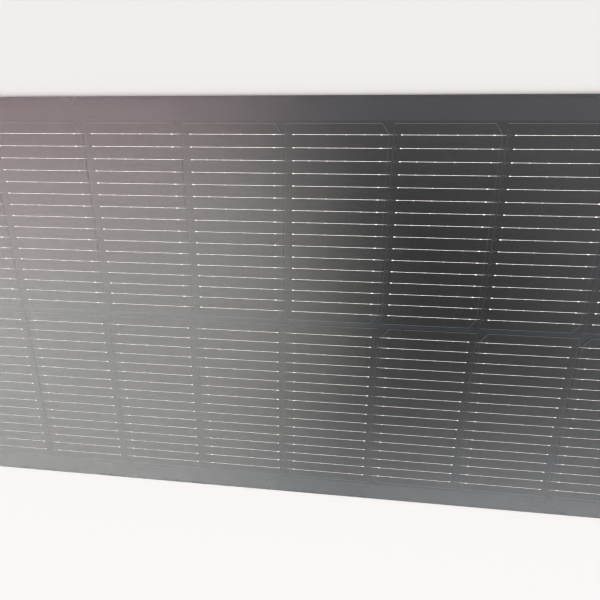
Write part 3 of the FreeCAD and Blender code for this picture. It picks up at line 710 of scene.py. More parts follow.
def rounded_outline(half_x: float, half_y: float, corner: float, spacing: float) -> list[Pair]:
    """Points round a rectangle with rounded corners, about the origin.

    Args:
        half_x: Half its length along X.
        half_y: Half its length along Y.
        corner: Radius of its corners.
        spacing: Largest distance between points.

    Returns:
        The points in order, the first one not repeated.
    """
    arc_steps = max(3, math.ceil(0.5 * math.pi * corner / spacing))
    arcs = []
    for quarter, (sign_x, sign_y) in enumerate(((1, 1), (-1, 1), (-1, -1), (1, -1))):
        x, y = sign_x * (half_x - corner), sign_y * (half_y - corner)
        angles = [0.5 * math.pi * (quarter + step / arc_steps) for step in range(arc_steps + 1)]
        arcs.append([(x + corner * math.cos(angle), y + corner * math.sin(angle)) for angle in angles])
    points: list[Pair] = []
    for arc, following in zip(arcs, [*arcs[1:], arcs[0]]):
        last, target = arc[-1], following[0]
        steps = math.ceil(math.dist(last, target) / spacing)
        shares = [step / steps for step in range(1, steps)]
        points += arc
        points += [
            (last[0] + share * (target[0] - last[0]), last[1] + share * (target[1] - last[1]))
            for share in shares
        ]
    return points


class Recipe:
    """A Geometry Nodes tree under construction, with named inputs."""

    SOCKETS = {int: "Int", float: "Float", tuple: "Vector"}

    def __init__(self, name: str) -> None:
        """Start a tree that takes and gives geometry."""
        self.tree = bpy.data.node_groups.new(name, "GeometryNodeTree")
        self.graph = Graph(self.tree)
        for way in ("INPUT", "OUTPUT"):
            self.tree.interface.new_socket("Geometry", in_out=way, socket_type="NodeSocketGeometry")
        self.source = self.graph.add("NodeGroupInput")
        self.identifiers: dict[str, str] = {}
        self.values: dict[str, Any] = {}

    @property
    def geometry(self) -> Socket:
        """The geometry that comes in."""
        return self.source.outputs[0]

    def ask(self, name: str, value: Any) -> Socket:
        """Add a named input.

        Args:
            name: The input's name.
            value: Its value, whose type is the socket's too. None is a material to be given.

        Returns:
            The socket that carries it inside the tree.
        """
        kind = self.SOCKETS.get(type(value), "Material")
        item = self.tree.interface.new_socket(name, in_out="INPUT", socket_type=f"NodeSocket{kind}")
        self.identifiers[name] = item.identifier
        self.values[name] = value
        return next(socket for socket in self.source.outputs if socket.identifier == item.identifier)

    def vector(self, x: Any = 0.0, y: Any = 0.0, z: Any = 0.0) -> Socket:
        """Three numbers or sockets as one vector."""
        return self.graph.add("ShaderNodeCombineXYZ", {0: x, 1: y, 2: z}).outputs[0]

    def row_of_points(self, count: Any, step: Socket, start: Any) -> Socket:
        """Points at even steps from a start."""
        inputs = {"Count": count, "Start Location": start, "Offset": step}
        return self.graph.add("GeometryNodeMeshLine", inputs, mode="OFFSET").outputs[0]

    def spread(self, count: Any, pitch: Any, axis: int = 1) -> Socket:
        """Points at an even pitch along an axis, Y unless told otherwise, centred on the origin."""
        reach = self.graph.math("MULTIPLY", self.graph.math("SUBTRACT", count, 1.0), pitch)
        start = self.vector(**{"xyz"[axis]: self.graph.math("MULTIPLY", reach, -0.5)})
        return self.row_of_points(count, self.vector(**{"xyz"[axis]: pitch}), start)

    def oval(self, width: float, height: float, sides: int) -> Socket:
        """An oval section, whose sizes are named inputs."""
        size = self.vector(self.ask("Width", width), self.ask("Height", height), 1.0)
        inputs = {"Resolution": self.ask("Sides", sides), "Radius": 0.5}
        circle = self.graph.add("GeometryNodeCurvePrimitiveCircle", inputs)
        return self.graph.add("GeometryNodeTransform", {"Geometry": circle, "Scale": size}).outputs[0]

    def instances(self, points: Any, shape: Any, **inputs: Any) -> Socket:
        """Copies of a shape on points."""
        values = {"Points": points, "Instance": shape, **inputs}
        return self.graph.add("GeometryNodeInstanceOnPoints", values).outputs[0]

    def join(self, *parts: Any) -> Socket:
        """Several geometries as one."""
        node = self.graph.add("GeometryNodeJoinGeometry")
        for part in parts:
            self.tree.links.new(part, node.inputs[0])
        return node.outputs[0]

    def sweep(self, lines: Any, profile: Any) -> Socket:
        """Solid strips with a profile along bare edges, kept level.

        Args:
            lines: Geometry whose edges are followed.
            profile: The curve that is swept, wide along X and high along Y.

        Returns:
            The closed strips.
        """
        path = self.graph.add("GeometryNodeMeshToCurve", {"Mesh": lines})
        level = self.graph.add("GeometryNodeSetCurveNormal", {"Curve": path}, mode="Z_UP")
        share = self.graph.add("GeometryNodeInputNamedAttribute", {"Name": "thickness"}, data_type="FLOAT")
        inputs = {"Curve": level, "Profile Curve": profile, "Scale": share, "Fill Caps": True}
        return self.graph.add("GeometryNodeCurveToMesh", inputs).outputs[0]

    def repeat(self, shape: Socket, smooth: bool) -> None:
        """Repeat a shape along a row of columns, and end the tree."""
        columns, pitch = self.ask("Columns", 1), self.ask("Column Pitch", 0.0)
        first, turn = self.ask("First", (0.0, 0.0, 0.0)), self.ask("Turn", 0.0)
        spots = self.row_of_points(columns, self.vector(pitch), first)
        self.finish(self.instances(spots, shape, Rotation=self.vector(z=turn)), smooth)

    def finish(self, geometry: Socket, smooth: bool) -> None:
        """Realise the copies, set shading and material, and end the tree."""
        solid = self.graph.add("GeometryNodeRealizeInstances", {"Geometry": geometry})
        inputs = {"Geometry": solid, "Shade Smooth": smooth}
        shaded = self.graph.add("GeometryNodeSetShadeSmooth", inputs)
        inputs = {"Geometry": shaded, "Material": self.ask("Finish", None)}
        self.graph.add("NodeGroupOutput", {0: self.graph.add("GeometryNodeSetMaterial", inputs)})

    def run(self, name: str, base: bpy.types.Mesh, finish: Material,
            changes: dict[str, Any] | None = None) -> bpy.types.Object:
        """Run the tree on a base mesh and keep the result as a plain mesh.

        Args:
            name: The piece's name.
            base: The geometry that goes in.
            finish: The piece's material.
            changes: Values that differ from those that were asked for.

        Returns:
            The piece, with no modifier left.
        """
        piece = new_piece(name, base)
        modifier = piece.modifiers.new("Recipe", "NODES")
        modifier.node_group = self.tree
        for label, value in {**self.values, **(changes or {}), "Finish": finish}.items():
            modifier[self.identifiers[label]] = value
        graph = bpy.context.evaluated_depsgraph_get()
        mesh = bpy.data.meshes.new_from_object(piece.evaluated_get(graph))
        mesh.name = name
        piece.modifiers.remove(modifier)
        piece.data = mesh
        bpy.data.meshes.remove(base)
        return piece


@dataclass(frozen=True)
class RowPlace:
    """Where one row of cells lies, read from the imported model."""

    row: Row
    columns: int
    pitch: float
    start_x: float
    centre_y: float
    half_width: float
    half_height: float
    cell_bottom: float
    cell_top: float

    @classmethod
    def measured(cls, row: Row) -> "RowPlace":
        """Measure a row's cells.

        Args:
            row: The row to measure.

        Returns:
            Its place and sizes.
        """
        names = sorted(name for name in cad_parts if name.startswith(f"cell_{row.value}"))
        low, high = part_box(names[0])
        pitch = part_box(names[1])[0].x - low.x
        half = (high - low) / 2
        centre_y = (low.y + high.y) / 2
        return cls(row, len(names), pitch, low.x, centre_y, half.x, half.y, low.z, high.z)

    @property
    def end_x(self) -> float:
        """The +X end of the row."""
        return self.start_x + (self.columns - 1) * self.pitch + 2 * self.half_width

    def repeats(self, height: float) -> dict[str, Any]:
        """The values that repeat a shape on the middle of each cell, at a height."""
        first = (self.start_x + self.half_width, self.centre_y, height)
        return {"Columns": self.columns, "Column Pitch": self.pitch, "First": first}


@dataclass(frozen=True)
class WireSet:
    """How the round wires are spaced, and where they start and bend."""

    count: int = 16
    pitch: float = 10.85 * MM
    width: float = 0.40 * MM
    height: float = 0.25 * MM
    inset: float = 7.7 * MM
    bend_start: float = 0.27 * MM
    bend_run: float = 0.9 * MM
    end_reach: float = 8.0 * MM
    tail: float = 6.8 * MM
    tail_share: float = 0.42
    wander: float = 0.3 * MM
    wander_per_metre: float = 70.0
    corner: float = 0.12 * MM
    sides: int = 8

    def places(self) -> list[float]:
        """Where the wires are across a row, from its centre line."""
        return [(index - (self.count - 1) / 2) * self.pitch for index in range(self.count)]

    def recipe(self) -> Recipe:
        """Geometry Nodes that repeat one line of wires across a row and give it its section."""
        recipe = Recipe("wire line repeated across a row")
        graph = recipe.graph
        across = recipe.spread(recipe.ask("Wires", self.count), recipe.ask("Wire Pitch", self.pitch))
        lines = recipe.instances(across, recipe.geometry)
        straight = graph.add("GeometryNodeRealizeInstances", {"Geometry": lines})
        here = graph.add("GeometryNodeInputPosition")
        inputs = {"Vector": here, "Scale": recipe.ask("Wander Scale", self.wander_per_metre), "Detail": 1.0}
        wave = graph.math("SUBTRACT", graph.add("ShaderNodeTexNoise", inputs).outputs["Fac"], 0.5)
        swing = graph.math("MULTIPLY", wave, recipe.ask("Wander", self.wander))
        inputs = {"Geometry": straight, "Offset": recipe.vector(y=swing)}
        flat = graph.add("GeometryNodeSetPosition", inputs)
        recipe.finish(recipe.sweep(flat, recipe.oval(self.width, self.height, self.sides)), smooth=True)
        return recipe

    def lines(self, place: RowPlace, pads: list[float]) -> tuple[list[list[Point]], list[float]]:
        """The runs of one line of wires along a row, on the row's centre line.

        Args:
            place: Where the row is.
            pads: Distances of the pads from a cell's centre.

        Returns:
            One run for each wire, from its front end to its back end, and the share of the
            full section at every point.
        """
        front = place.cell_top + self.height / 2
        back = place.cell_bottom - self.height / 2
        width = 2 * place.half_width
        corner, slim = self.corner, self.tail_share
        runs = []
        shares: list[float] = []
        for column in range(place.columns + 1):
            # distances along the row's own direction, from its back end
            cell = (column - 1) * place.pitch
            points = []
            if column > 0:
                bend = cell + width + self.bend_start
                straight = [
                    cell + self.inset,
                    *(cell + place.half_width + pad for pad in pads[1:]),
                    cell + width - self.tail,
                ]
                points += [(along, front, 1.0) for along in straight]
                points.append((bend - corner, front, slim))
                points.append((bend + 2 * corner, front - corner, slim))
                points.append((bend + self.bend_run - 2 * corner, back + corner, slim))
                points.append((bend + self.bend_run + corner, back, 1.0))
            else:
                points.append((-self.end_reach, back, 1.0))
            if column == place.columns:
                points = points[: len(pads) + 1]
                points.append((cell + width + self.end_reach, front, 1.0))
            else:
                points.append((cell + place.pitch + width - self.inset, back, 1.0))
            start = place.start_x if place.row is Row.A else place.end_x
            way = place.row.direction
            runs.append([(start + way * along, place.centre_y, height) for along, height, _ in points])
            shares += [share for _, _, share in points]
        return runs, shares


@dataclass(frozen=True)
class CellPrint:
    """The silver ink on the front of a cell: pads, forks, frame and ticks."""

    ink: float = 0.02 * MM
    line: float = 0.22 * MM
    pad_distances: tuple[float, float, float] = (8.05 * MM, 23.6 * MM, 37.7 * MM)
    pad_length: float = 1.25 * MM
    pad_width: float = 0.95 * MM
    fork_start: float = 2.4 * MM
    fork_end: float = 6.4 * MM
    fork_spread: float = 0.9 * MM
    frame_side: float = 0.6 * MM
    frame_start: float = 0.9 * MM
    frame_end: float = 1.6 * MM
    frame_end_share: float = 0.3
    chamfer: float = 7.5 * MM
    tick_from_edge: float = 21.5 * MM
    tick_half: float = 0.65 * MM
    bus_width: float = 0.16 * MM
    lift: float = 0.001 * MM

    def outline(self, place: RowPlace) -> tuple[list[list[Point]], list[float]]:
        """The pale line just inside a cell's edge, which follows its cut corners.

        Args:
            place: Where the row is.

        Returns:
            Its runs, and the share of the full line width at every point. The two edges that
            face along the sheet have the finer line.
        """
        left = -place.half_width + self.frame_start
        right = place.half_width - self.frame_end
        side = place.half_height - self.frame_side
        cut_x = place.half_width - self.chamfer - 0.5 * self.frame_side
        cut_y = place.half_height - self.chamfer + right - place.half_width + 0.5 * self.frame_side
        upper = [(left, side, 0.0), (cut_x, side, 0.0), (right, cut_y, 0.0)]
        lower = [(x, -y, 0.0) for x, y, _ in upper]
        ends = [[upper[2], lower[2]], [upper[0], lower[0]]]
        return [upper, lower, *ends], [1.0] * 6 + [self.frame_end_share] * 4

    def lines(self, place: RowPlace, wires: WireSet) -> tuple[list[list[Point]], list[float]]:
        """Every drawn line of one cell, about the cell's centre.

        Args:
            place: Where the row is.
            wires: How its wires are spaced.

        Returns:
            The frame line, the forks at both ends of each wire's pads, and the ticks, with
            the share of the full line width at every point.
        """
        runs, shares = self.outline(place)
        last_pad = self.pad_distances[-1]
        for index, y in enumerate(wires.places()):
            for end in (-1.0, 1.0):
                root = end * (last_pad + self.fork_start)
                tip = end * (last_pad + self.fork_end)
                upper = (tip, y + self.fork_spread, 0.0)
                lower = (tip, y - self.fork_spread, 0.0)
                runs.append([upper, (root, y, 0.0), lower])
            if index in (1, wires.count - 2):
                tick = place.half_width - self.tick_from_edge
                runs.append([(tick, y - self.tick_half, 0.0), (tick, y + self.tick_half, 0.0)])
        points = sum(len(run) for run in runs)
        return runs, shares + [1.0] * (points - len(shares))

    def recipe(self, wires: WireSet) -> Recipe:
        """Geometry Nodes that print one cell and repeat it along a row."""
        recipe = Recipe("silver print of a row")
        graph = recipe.graph
        count, pitch = recipe.ask("Wires", wires.count), recipe.ask("Wire Pitch", wires.pitch)
        ink = recipe.ask("Ink Height", self.ink)
        inputs = {"Width": recipe.ask("Line Width", self.line), "Height": ink}
        box = graph.add("GeometryNodeCurvePrimitiveQuadrilateral", inputs)
        parts = [recipe.sweep(recipe.geometry, box)]

        length, width = recipe.ask("Pad Length", self.pad_length), recipe.ask("Pad Width", self.pad_width)
        pad_size = recipe.vector(length, width, ink)
        disc = graph.add("GeometryNodeMeshCylinder", {"Vertices": 8, "Radius": 0.5, "Depth": 1.0})
        reach = graph.math("MULTIPLY", graph.math("SUBTRACT", count, 1.0), pitch)
        for name, distance in zip(("Inner Pads", "Middle Pads", "Outer Pads"), self.pad_distances):
            span = graph.math("MULTIPLY", recipe.ask(name, distance), 2.0)
            inputs = {"Size X": span, "Size Y": reach, "Vertices X": 2, "Vertices Y": count}
            grid = graph.add("GeometryNodeMeshGrid", inputs)
            parts.append(recipe.instances(grid.outputs[0], disc.outputs[0], Scale=pad_size))

        length = recipe.ask("Bus Length", 2 * (self.pad_distances[-1] + self.fork_start))
        bus_size = recipe.vector(length, recipe.ask("Bus Width", self.bus_width), ink)
        bar = graph.add("GeometryNodeMeshCube", {"Size": bus_size})
        parts.append(recipe.instances(recipe.spread(count, pitch), bar.outputs[0]))
        recipe.repeat(recipe.join(*parts), smooth=False)
        return recipe


@dataclass(frozen=True)
class SolderBeads:
    """Small flattened beads of solder where a wire meets a pad or a ribbon."""

    length: float = 1.5 * MM
    width: float = 0.7 * MM
    height: float = 0.40 * MM
    rise: float = 0.10 * MM
    segments: int = 8
    rings: int = 4
    least_size: float = 0.82
    most_size: float = 1.12
    seed: int = 11

    def build(self, name: str, points: list[Point], finish: Material, slot: str,
              changes: dict[str, Any] | None = None) -> None:
        """Set a bead on each point, and repeat the set along a row.

        Args:
            name: The piece's name.
            points: Where the beads go.
            finish: Their material.
            slot: The material slot that they share. It is passed to settle, which does not use it.
            changes: The row's values, for a set that is repeated.
        """
        recipe = Recipe("solder beads")
        graph = recipe.graph
        length, width = recipe.ask("Length", self.length), recipe.ask("Width", self.width)
        size = recipe.vector(length, width, recipe.ask("Height", self.height))
        segments, rings = recipe.ask("Segments", self.segments), recipe.ask("Rings", self.rings)
        inputs = {"Segments": segments, "Rings": rings, "Radius": 0.5}
        ball = graph.add("GeometryNodeMeshUVSphere", inputs)
        inputs = {2: self.least_size, 3: self.most_size, "Seed": self.seed}
        wobble = graph.add("FunctionNodeRandomValue", inputs, data_type="FLOAT")
        inputs = {0: size, "Scale": wobble.outputs[1]}
        varied = graph.add("ShaderNodeVectorMath", inputs, operation="SCALE")
        beads = recipe.instances(recipe.geometry, ball.outputs[0], Scale=varied.outputs[0])
        recipe.repeat(beads, smooth=True)
        settle(recipe.run(name, point_mesh(points), finish, changes), Body.SHEET, slot)


@dataclass
class CellCircuit:
    """Both rows of cells with their print, wires and solder."""

    wires: WireSet
    ink: CellPrint
    beads: SolderBeads
    end_beads: SolderBeads
    ribbon_beads: SolderBeads
    silicon: CoatedSilicon
    silver: PrintedInk
    tin: Metal
    solder: Metal
    ribbon_half_width: float = 3.0 * MM

    def build(self) -> None:
        """Dress the cells and ribbons, and make what repeats along the rows."""
        self.silicon.dress(*[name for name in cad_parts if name.startswith("cell_")])
        tin = self.tin.dress(*[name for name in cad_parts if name.endswith("_ribbon")])
        silver, solder = self.silver.make(), self.solder.make()
        for row in Row:
            place = RowPlace.measured(row)
            self._print(place, silver)
            self._wires(place, tin)
            self._pad_beads(place, solder)
        self.ribbon_beads.build("ribbon_solder", self._ribbon_joints(), solder, "wire")

    def _print(self, place: RowPlace, silver: Material) -> None:
        """Print one row."""
        base = line_mesh("print lines", *self.ink.lines(place, self.wires))
        height = place.cell_top + self.ink.ink / 2 + self.ink.lift
        changes = {**place.repeats(height), "Turn": place.row.turn}
        name = f"silver_print_{place.row.value}"
        settle(self.ink.recipe(self.wires).run(name, base, silver, changes), Body.SHEET, "cell")

    def _wires(self, place: RowPlace, tin: Material) -> None:
        """Lay one row's wires."""
        distances = self.ink.pad_distances
        pads = sorted([-distance for distance in distances] + list(distances))
        base = line_mesh("wire lines", *self.wires.lines(place, pads))
        piece = self.wires.recipe().run(f"round_wires_{place.row.value}", base, tin)
        settle(piece, Body.SHEET, "wire", f"wires_row_{place.row.value}")

    def _pad_beads(self, place: RowPlace, solder: Material) -> None:
        """Solder one row's wires to its pads, with larger beads on the first and last pads."""
        *inner, outer = self.ink.pad_distances
        for label, beads, distances in (("pad", self.beads, inner), ("end", self.end_beads, [outer])):
            points = [
                (end * distance, y, 0.0)
                for y in self.wires.places()
                for distance in distances
                for end in (-1.0, 1.0)
            ]
            changes = place.repeats(place.cell_top + beads.rise)
            beads.build(f"{label}_solder_{place.row.value}", points, solder, "wire", changes)

    def _ribbon_joints(self) -> list[Point]:
        """Where the end wires of both rows meet their ribbons."""
        points: list[Point] = []
        for row, near in ((Row.A, "positive_ribbon"), (Row.B, "negative_ribbon")):
            place = RowPlace.measured(row)
            for name in (near, "crossing_ribbon"):
                # an end ribbon's box also holds its lead, so its outer side counts
                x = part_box(name)[1].x - self.ribbon_half_width
                points += [(x, place.centre_y + y, place.cell_top) for y in self.wires.places()]
        return points


@dataclass
class Laminate:
    """The layers of the sheet, kept as they are in CAD and given their finishes."""

    film: ClearFilm
    filling: ClearFilling
    backing: BlackFilling
    board: GlassFibreBoard
    rear: PebbledSheet
    rim_width: float = 3.0 * MM
    corner: float = 8.0 * MM
    spacing: float = 2.5 * MM
    hairline_gap: float = 0.005 * MM

    def build(self) -> None:
        """Dress the layers."""
        self.film.dress("front_film")
        self.backing.dress("rear_encapsulant")
        self.board.dress("stiffener_board", "bond_film")
        self.rear.dress("rear_sheet")
        self._filling_rim(self.filling.make())

    def _filling_rim(self, material: Material) -> None:
        """Show the clear encapsulant by its rim, the only part that can be told from the film.

        Its faces keep a hairline from those of the layers above and below, because a ray that
        meets two faces at the same depth can be caught between them.

        Args:
            material: Its finish.
        """
        low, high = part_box("front_encapsulant")
        centre, half = (low + high) / 2, (high - low) / 2
        bottom, top = low.z + self.hairline_gap, high.z - self.hairline_gap
        outer = rounded_outline(half.x, half.y, self.corner, self.spacing)
        shrink_x, shrink_y = 1.0 - self.rim_width / half.x, 1.0 - self.rim_width / half.y
        inner = [(x * shrink_x, y * shrink_y) for x, y in outer]
        rings = [
            [(centre.x + x, centre.y + y, height) for x, y in outline]
            for outline, height in ((outer, bottom), (outer, top), (inner, top), (inner, bottom))
        ]
        piece = ringed_piece("encapsulant_rim", [rings], material)
        settle(piece, Body.SHEET, "encapsulant", "front_encapsulant")


@dataclass(frozen=True)
class SealantBead:
    """The bead of sealant squeezed out round the foot of the junction box."""

    width: float = 1.9 * MM
    height: float = 1.0 * MM
    corner: float = 5.0 * MM
    spacing: float = 2.0 * MM
    unevenness: float = 0.35
    lumps_per_metre: float = 90.0
    sides: int = 10

    def build(self, material: Material) -> None:
        """Sweep the bead along the foot, in one finish."""
        low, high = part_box("box_adhesive")
        centre, half = (low + high) / 2, (high - low) / 2
        height = low.z + self.height / 2
        outline = rounded_outline(half.x, half.y, self.corner, self.spacing)
        line = [(centre.x + x, centre.y + y, height) for x, y in outline]
        lumps = [noise.noise(Vector(point) * self.lumps_per_metre) for point in line]
        shares = [1.0 + self.unevenness * lump for lump in lumps]
        recipe = Recipe("bead along a line")
        section = recipe.oval(self.width, self.height, self.sides)
        recipe.finish(recipe.sweep(recipe.geometry, section), smooth=True)
        base = line_mesh("bead line", [[*line, line[0]]], shares)
        settle(recipe.run("sealant_bead", base, material), Body.SHEET, "sealant")


@dataclass(frozen=True)
class LidRibs:
    """The grid of low ribs that stiffens the lid from inside."""

    rib_width: float = 0.8 * MM
    rib_height: float = 0.5 * MM
    overlap: float = 0.1 * MM
    half_x: float = 27.3 * MM
    half_y: float = 44.3 * MM
    ribs_along: int = 3
    ribs_across: int = 5
    step_x: float = 13.5 * MM
    step_y: float = 14.7 * MM
    seam: float = 0.1 * MM

    def build(self, material: Material) -> None:
        """Lay the ribs under the lid's plate, in the plate's own finish."""
        seal_low, seal_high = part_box("lid_gasket")
        centre = (seal_low + seal_high) / 2
        plate = seal_high.z + self.seam
        recipe = Recipe("crossing ribs")
        graph = recipe.graph
        width = recipe.ask("Rib Width", self.rib_width)
        height = recipe.ask("Rib Height", self.rib_height + self.overlap)
        bars = (
            ("Along", self.ribs_along, self.step_x, 2 * self.half_y),
            ("Across", self.ribs_across, self.step_y, 2 * self.half_x),
        )
        sets = []
        for axis, (label, ribs, pitch, reach) in enumerate(bars):
            length = recipe.ask(f"Length {label}", reach)
            x, y = [(width, length), (length, width)][axis]
            bar = graph.add("GeometryNodeMeshCube", {"Size": recipe.vector(x, y, height)})
            count, step = recipe.ask(f"Ribs {label}", ribs), recipe.ask(f"Step {label}", pitch)
            sets.append(recipe.instances(recipe.spread(count, step, axis), bar.outputs[0]))
        middle = (centre.x, centre.y, plate - (self.rib_height - self.overlap) / 2)
        inputs = {"Geometry": recipe.join(*sets), "Translation": recipe.ask("Centre", middle)}
        recipe.finish(graph.add("GeometryNodeTransform", inputs).outputs[0], smooth=False)
        settle(recipe.run("lid_ribs", point_mesh([]), material), Body.LID, "box_plastic")


@dataclass(frozen=True)
class DomedNuts:
    """The nuts of both glands, as six flats cut from a turned piece with a domed front."""

    flat_radius: float = 7.5 * MM
    bore_radius: float = 6.05 * MM
    mouth_radius: float = 3.6 * MM
    front_wall: float = 1.5 * MM
    axis_x: float = -855.0 * MM
    steps: int = 72
    start_chamfer: tuple[Pair, ...] = ((0.0, 7.5), (0.35, 8.0), (0.8, 8.7))
    dome: tuple[Pair, ...] = (
        (3.4, 8.7),
        (2.9, 8.35),
        (2.3, 7.95),
        (1.6, 7.4),
        (0.9, 6.6),
        (0.35, 5.7),
        (0.05, 4.8),
        (0.0, 4.3),
        (0.1, 3.85),
        (0.4, 3.6),
    )

    def build(self, material: Material) -> None:
        """Make both nuts as one piece with a finish, in the place of the plain ones."""
        low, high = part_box("gland_nuts")
        inner = min(abs(vertex.co.y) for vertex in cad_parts["gland_nuts"].data.vertices)
        length = high.y - inner
        section = [(start * MM, radius * MM) for start, radius in self.start_chamfer]
        section += [(length - back * MM, radius * MM) for back, radius in self.dome]
        section += [
            (length - self.front_wall, self.mouth_radius),
            (length - self.front_wall, self.bore_radius),
            (0.0, self.bore_radius),
        ]
        height = (low.z + high.z) / 2
        bodies = [
            [self._ring(side * (inner + along), radius, height) for along, radius in section]
            for side in (-1.0, 1.0)
        ]
        piece = ringed_piece("domed_gland_nuts", bodies, material)
        settle(piece, Body.SHEET, "gland_plastic", "gland_nuts")

    def _ring(self, y: float, radius: float, height: float) -> list[Point]:
        """One ring of points, held inside the six flats.

        Args:
            y: Where the ring is along the box.
            radius: The turned radius there.
            height: Height of the nut's axis.

        Returns:
            The ring's points in order.
        """
        sixth = math.pi / 3
        ring = []
        for index in range(self.steps):
            angle = 2 * math.pi * index / self.steps
            flat = self.flat_radius / math.cos(angle % sixth - sixth / 2)
            reach = min(radius, flat)
            ring.append((self.axis_x + reach * math.cos(angle), y, height + reach * math.sin(angle)))
        return ring


@dataclass(frozen=True)
class LeadSolder:
    """Solder where the ribbons' leads and the diode's legs meet the plates."""

    lead: SolderBeads = SolderBeads(5.4 * MM, 7.4 * MM, 1.3 * MM, segments=20, rings=10)
    leg: SolderBeads = SolderBeads(4.6 * MM, 5.0 * MM, 2.2 * MM, segments=20, rings=10)
    lead_x_from_diode: float = 3.1 * MM
    lead_y: float = 12.0 * MM
    lead_rise: float = 0.2 * MM
    leg_y: float = 11.4 * MM
    leg_rise: float = 0.4 * MM
    plate_thickness: float = 1.5 * MM

    def build(self, material: Material) -> None:
        """Set a bead of solder on each of the four joints."""
        diode_low, diode_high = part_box("bypass_diode")
        plate_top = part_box("positive_terminal")[0].z + self.plate_thickness
        lead_x, leg_x = diode_high.x + self.lead_x_from_diode, (diode_low.x + diode_high.x) / 2
        for name, bead, x, y, rise in (
            ("lead_solder", self.lead, lead_x, self.lead_y, self.lead_rise),
            ("leg_solder", self.leg, leg_x, self.leg_y, self.leg_rise),
        ):
            points = [(x, side * y, plate_top + rise) for side in (-1.0, 1.0)]
            bead.build(name, points, material, "terminal")


@dataclass
class JunctionBox:
    """The box on the end margin, with its lid, terminals and glands."""

    plastic: MouldedPlastic
    gland_plastic: MouldedPlastic
    rubber: Rubber
    sealant: Sealant
    brass: Metal
    steel: Metal
    solder: Metal
    diode: BandedCase

    def build(self) -> None:
        """Dress the box's pieces, and add what is too fine for CAD."""
        plastic = self.plastic.dress("box_base", "box_lid")
        DomedNuts().build(self.gland_plastic.dress("gland_bodies"))
        LidRibs().build(plastic)
        self.rubber.dress("gland_seals", "lid_gasket")
        SealantBead().build(self.sealant.dress("box_adhesive"))
        self.brass.dress("positive_terminal", "negative_terminal")
        LeadSolder().build(self.solder.make())
        self.steel.dress("terminal_screws", "hinge_pin")
        self.diode.dress("bypass_diode")


# Studio and camera.


@dataclass(frozen=True)
class Glow:
    """A soft round patch of light or shade in the studio's surroundings."""

    towards: Point
    core: float
    edge: float
    colour: Point

    def amount(self, graph: Graph, ray: Any) -> Socket:
        """How much of the patch a direction sees, from 0 to 1."""
        axis = Vector(self.towards).normalized()
        aligned = graph.add("ShaderNodeVectorMath", {0: ray, 1: axis}, operation="DOT_PRODUCT")
        ends = (math.cos(math.radians(self.edge)), math.cos(math.radians(self.core)))
        return graph.remap(aligned.outputs["Value"], ends)


@dataclass(frozen=True)
class Studio:
    """A pale floor under a wide soft light, in a room that is darker overhead."""

    window: tuple[Glow, ...]
    shade: Glow
    ceiling: Point
    walls: Point
    floor_size: float
    # the two floor colours and their span are painted light falloff: the paler colour on the -Y side,
    # towards the window glows, the darker one on the +Y side
    floor_painted_lit: Colour
    floor_painted_shade: Colour
    floor_painted_falloff: Pair = (-0.35, 0.35)
    floor_drop: float = 0.2 * MM
    overhead_from: Pair = (0.25, 0.6)

    def build(self) -> None:
        """Build the surroundings and the floor."""
        self._surroundings()
        self._floor()

    def _surroundings(self) -> None:
        """The world's light, from its direction alone."""
        world = bpy.data.worlds.new("soft studio")
        bpy.context.scene.world = world
        graph = blank_graph(world)
        ray = graph.add("ShaderNodeTexCoord").outputs["Generated"]
        height = graph.add("ShaderNodeSeparateXYZ", {0: ray}).outputs[2]
        overhead = graph.remap(height, self.overhead_from)
        room = graph.blend(overhead, self.walls, self.ceiling)
        total: Any = graph.blend(self.shade.amount(graph, ray), room, self.shade.colour)
        for glow in self.window:
            inputs = {0: glow.colour, "Scale": glow.amount(graph, ray)}
            light = graph.add("ShaderNodeVectorMath", inputs, operation="SCALE")
            total = graph.add("ShaderNodeVectorMath", {0: total, 1: light}, operation="ADD").outputs[0]
        background = graph.add("ShaderNodeBackground", {"Color": total, "Strength": 1.0})
        graph.add("ShaderNodeOutputWorld", {"Surface": background})

    def _floor(self) -> None:
        """A wide floor at the height of the sheet's underside, with painted light falloff across it."""
        half = self.floor_size / 2
        mesh = bpy.data.meshes.new("studio_floor")
        height = CAD_BOX[0].z - self.floor_drop
        corners = [(x * half, y * half, height) for x, y in ((-1, -1), (1, -1), (1, 1), (-1, 1))]
        mesh.from_pydata(corners, [], [(0, 1, 2, 3)])
        floor = new_piece("studio_floor", mesh)
        material = bpy.data.materials.new("pale floor")
        graph = blank_graph(material)
        # painted light falloff: the floor's colour is paler towards -Y, the window side, and darker towards
        # +Y
        painted_falloff = graph.remap(graph.axis(1), self.floor_painted_falloff)
        tone = graph.blend(painted_falloff, self.floor_painted_lit, self.floor_painted_shade)
        surface = graph.add("ShaderNodeBsdfDiffuse", {"Color": tone})
        graph.add("ShaderNodeOutputMaterial", {"Surface": surface})
        mesh.materials.append(material)


@dataclass(frozen=True)
class Viewpoint:
    """The camera: its place and axes in the model's frame, and its focal length."""

    place: Point
    right: Point
    up: Point
    back: Point
    lens_mm: float
    sensor_mm: float = 36.0

    def build(self) -> None:
        """Add the camera and make it the scene's own."""
        data = bpy.data.cameras.new("camera")
        data.lens = self.lens_mm
        data.sensor_width = self.sensor_mm
        data.sensor_fit = "HORIZONTAL"
        data.clip_start = 0.01
        data.clip_end = 100.0
        camera = bpy.data.objects.new("camera", data)
        bpy.context.scene.collection.objects.link(camera)
        turn = Matrix((self.right, self.up, self.back)).transposed().to_4x4()
        camera.matrix_world = Matrix.Translation(self.place) @ turn
        bpy.context.scene.camera = camera


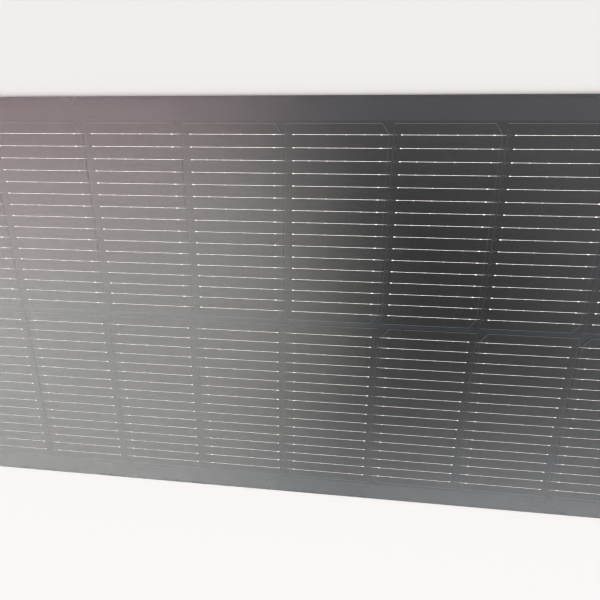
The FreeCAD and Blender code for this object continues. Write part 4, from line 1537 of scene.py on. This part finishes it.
def main() -> None:
    """Build the classes in order and report each piece."""
    logging.basicConfig(level=logging.INFO, format="%(name)s %(message)s")
    Laminate(
        film=ClearFilm("clear front film"),
        filling=ClearFilling("clear encapsulant"),
        backing=BlackFilling("black encapsulant"),
        board=GlassFibreBoard("glass-fibre board"),
        rear=PebbledSheet("pebbled rear sheet"),
    ).build()
    # shallow grain and little metal, because the film lies over these
    under_film = (0.003 * MM, 0.08)
    CellCircuit(
        wires=WireSet(),
        ink=CellPrint(),
        beads=SolderBeads(),
        end_beads=SolderBeads(length=2.3 * MM, width=1.05 * MM, height=0.56 * MM),
        ribbon_beads=SolderBeads(length=3.4 * MM, width=1.2 * MM, height=0.7 * MM),
        silicon=CoatedSilicon("coated silicon"),
        silver=PrintedInk("silver ink"),
        tin=Metal("tinned copper", (0.50, 0.49, 0.46), (0.42, 0.41, 0.385), 0.3, 0.45, 220.0, *under_film),
        solder=Metal("solder", (0.72, 0.71, 0.68), (0.60, 0.59, 0.56), 0.3, 0.45, 500.0, *under_film),
    ).build()
    JunctionBox(
        plastic=MouldedPlastic("moulded box plastic"),
        gland_plastic=MouldedPlastic("gland plastic", grain_depth=0.012 * MM, gloss=0.36, matt=0.48),
        rubber=Rubber("seal rubber"),
        sealant=Sealant("black sealant"),
        brass=Metal("tinned brass", (0.46, 0.43, 0.37), (0.32, 0.29, 0.235), 0.34, 0.5, 160.0, 0.02 * MM),
        steel=Metal("zinc-plated steel", (0.66, 0.67, 0.68), (0.44, 0.45, 0.46), 0.22, 0.36, 260.0),
        solder=Metal("box solder", (0.74, 0.74, 0.73), (0.56, 0.56, 0.55), 0.2, 0.36, 300.0),
        diode=BandedCase("diode case"),
    ).build()
    Studio(
        window=(
            Glow((-0.39, -0.27, 0.71), 0.1, 34.2, (4.95, 4.94, 4.68)),
            Glow((-0.79, -0.19, 0.72), 0.1, 19.6, (1.05, 1.10, 1.05)),
            Glow((-0.60, 0.31, 0.74), 0.1, 40.0, (1.35, 0.12, 0.42)),
            Glow((0.36, -1.7, 0.46), 0.1, 50.0, (4.1, 4.28, 4.33)),
        ),
        shade=Glow((0.07, -0.364, 0.95), 6.6, 28.0, (0.27, 0.27, 0.27)),
        ceiling=(1.29, 1.30, 1.33),
        walls=(1.0, 1.0, 1.0),
        floor_size=24.0,
        # painted light falloff on the floor: paler on the -Y window side, darker on the +Y side
        floor_painted_lit=(0.393, 0.412, 0.404),
        floor_painted_shade=(0.358, 0.376, 0.364),
    ).build()
    Viewpoint(
        place=(0.09355, 0.15906, 0.4113),
        right=(0.99374, 0.00782, -0.11147),
        up=(-0.04222, 0.94987, -0.30977),
        back=(0.10345, 0.31253, 0.94425),
        lens_mm=26.782,
    ).build()
    bpy.context.scene.view_settings.view_transform = "Standard"
    bpy.context.scene.cycles.filter_width = 1.25


if __name__ == "__main__":
    main()
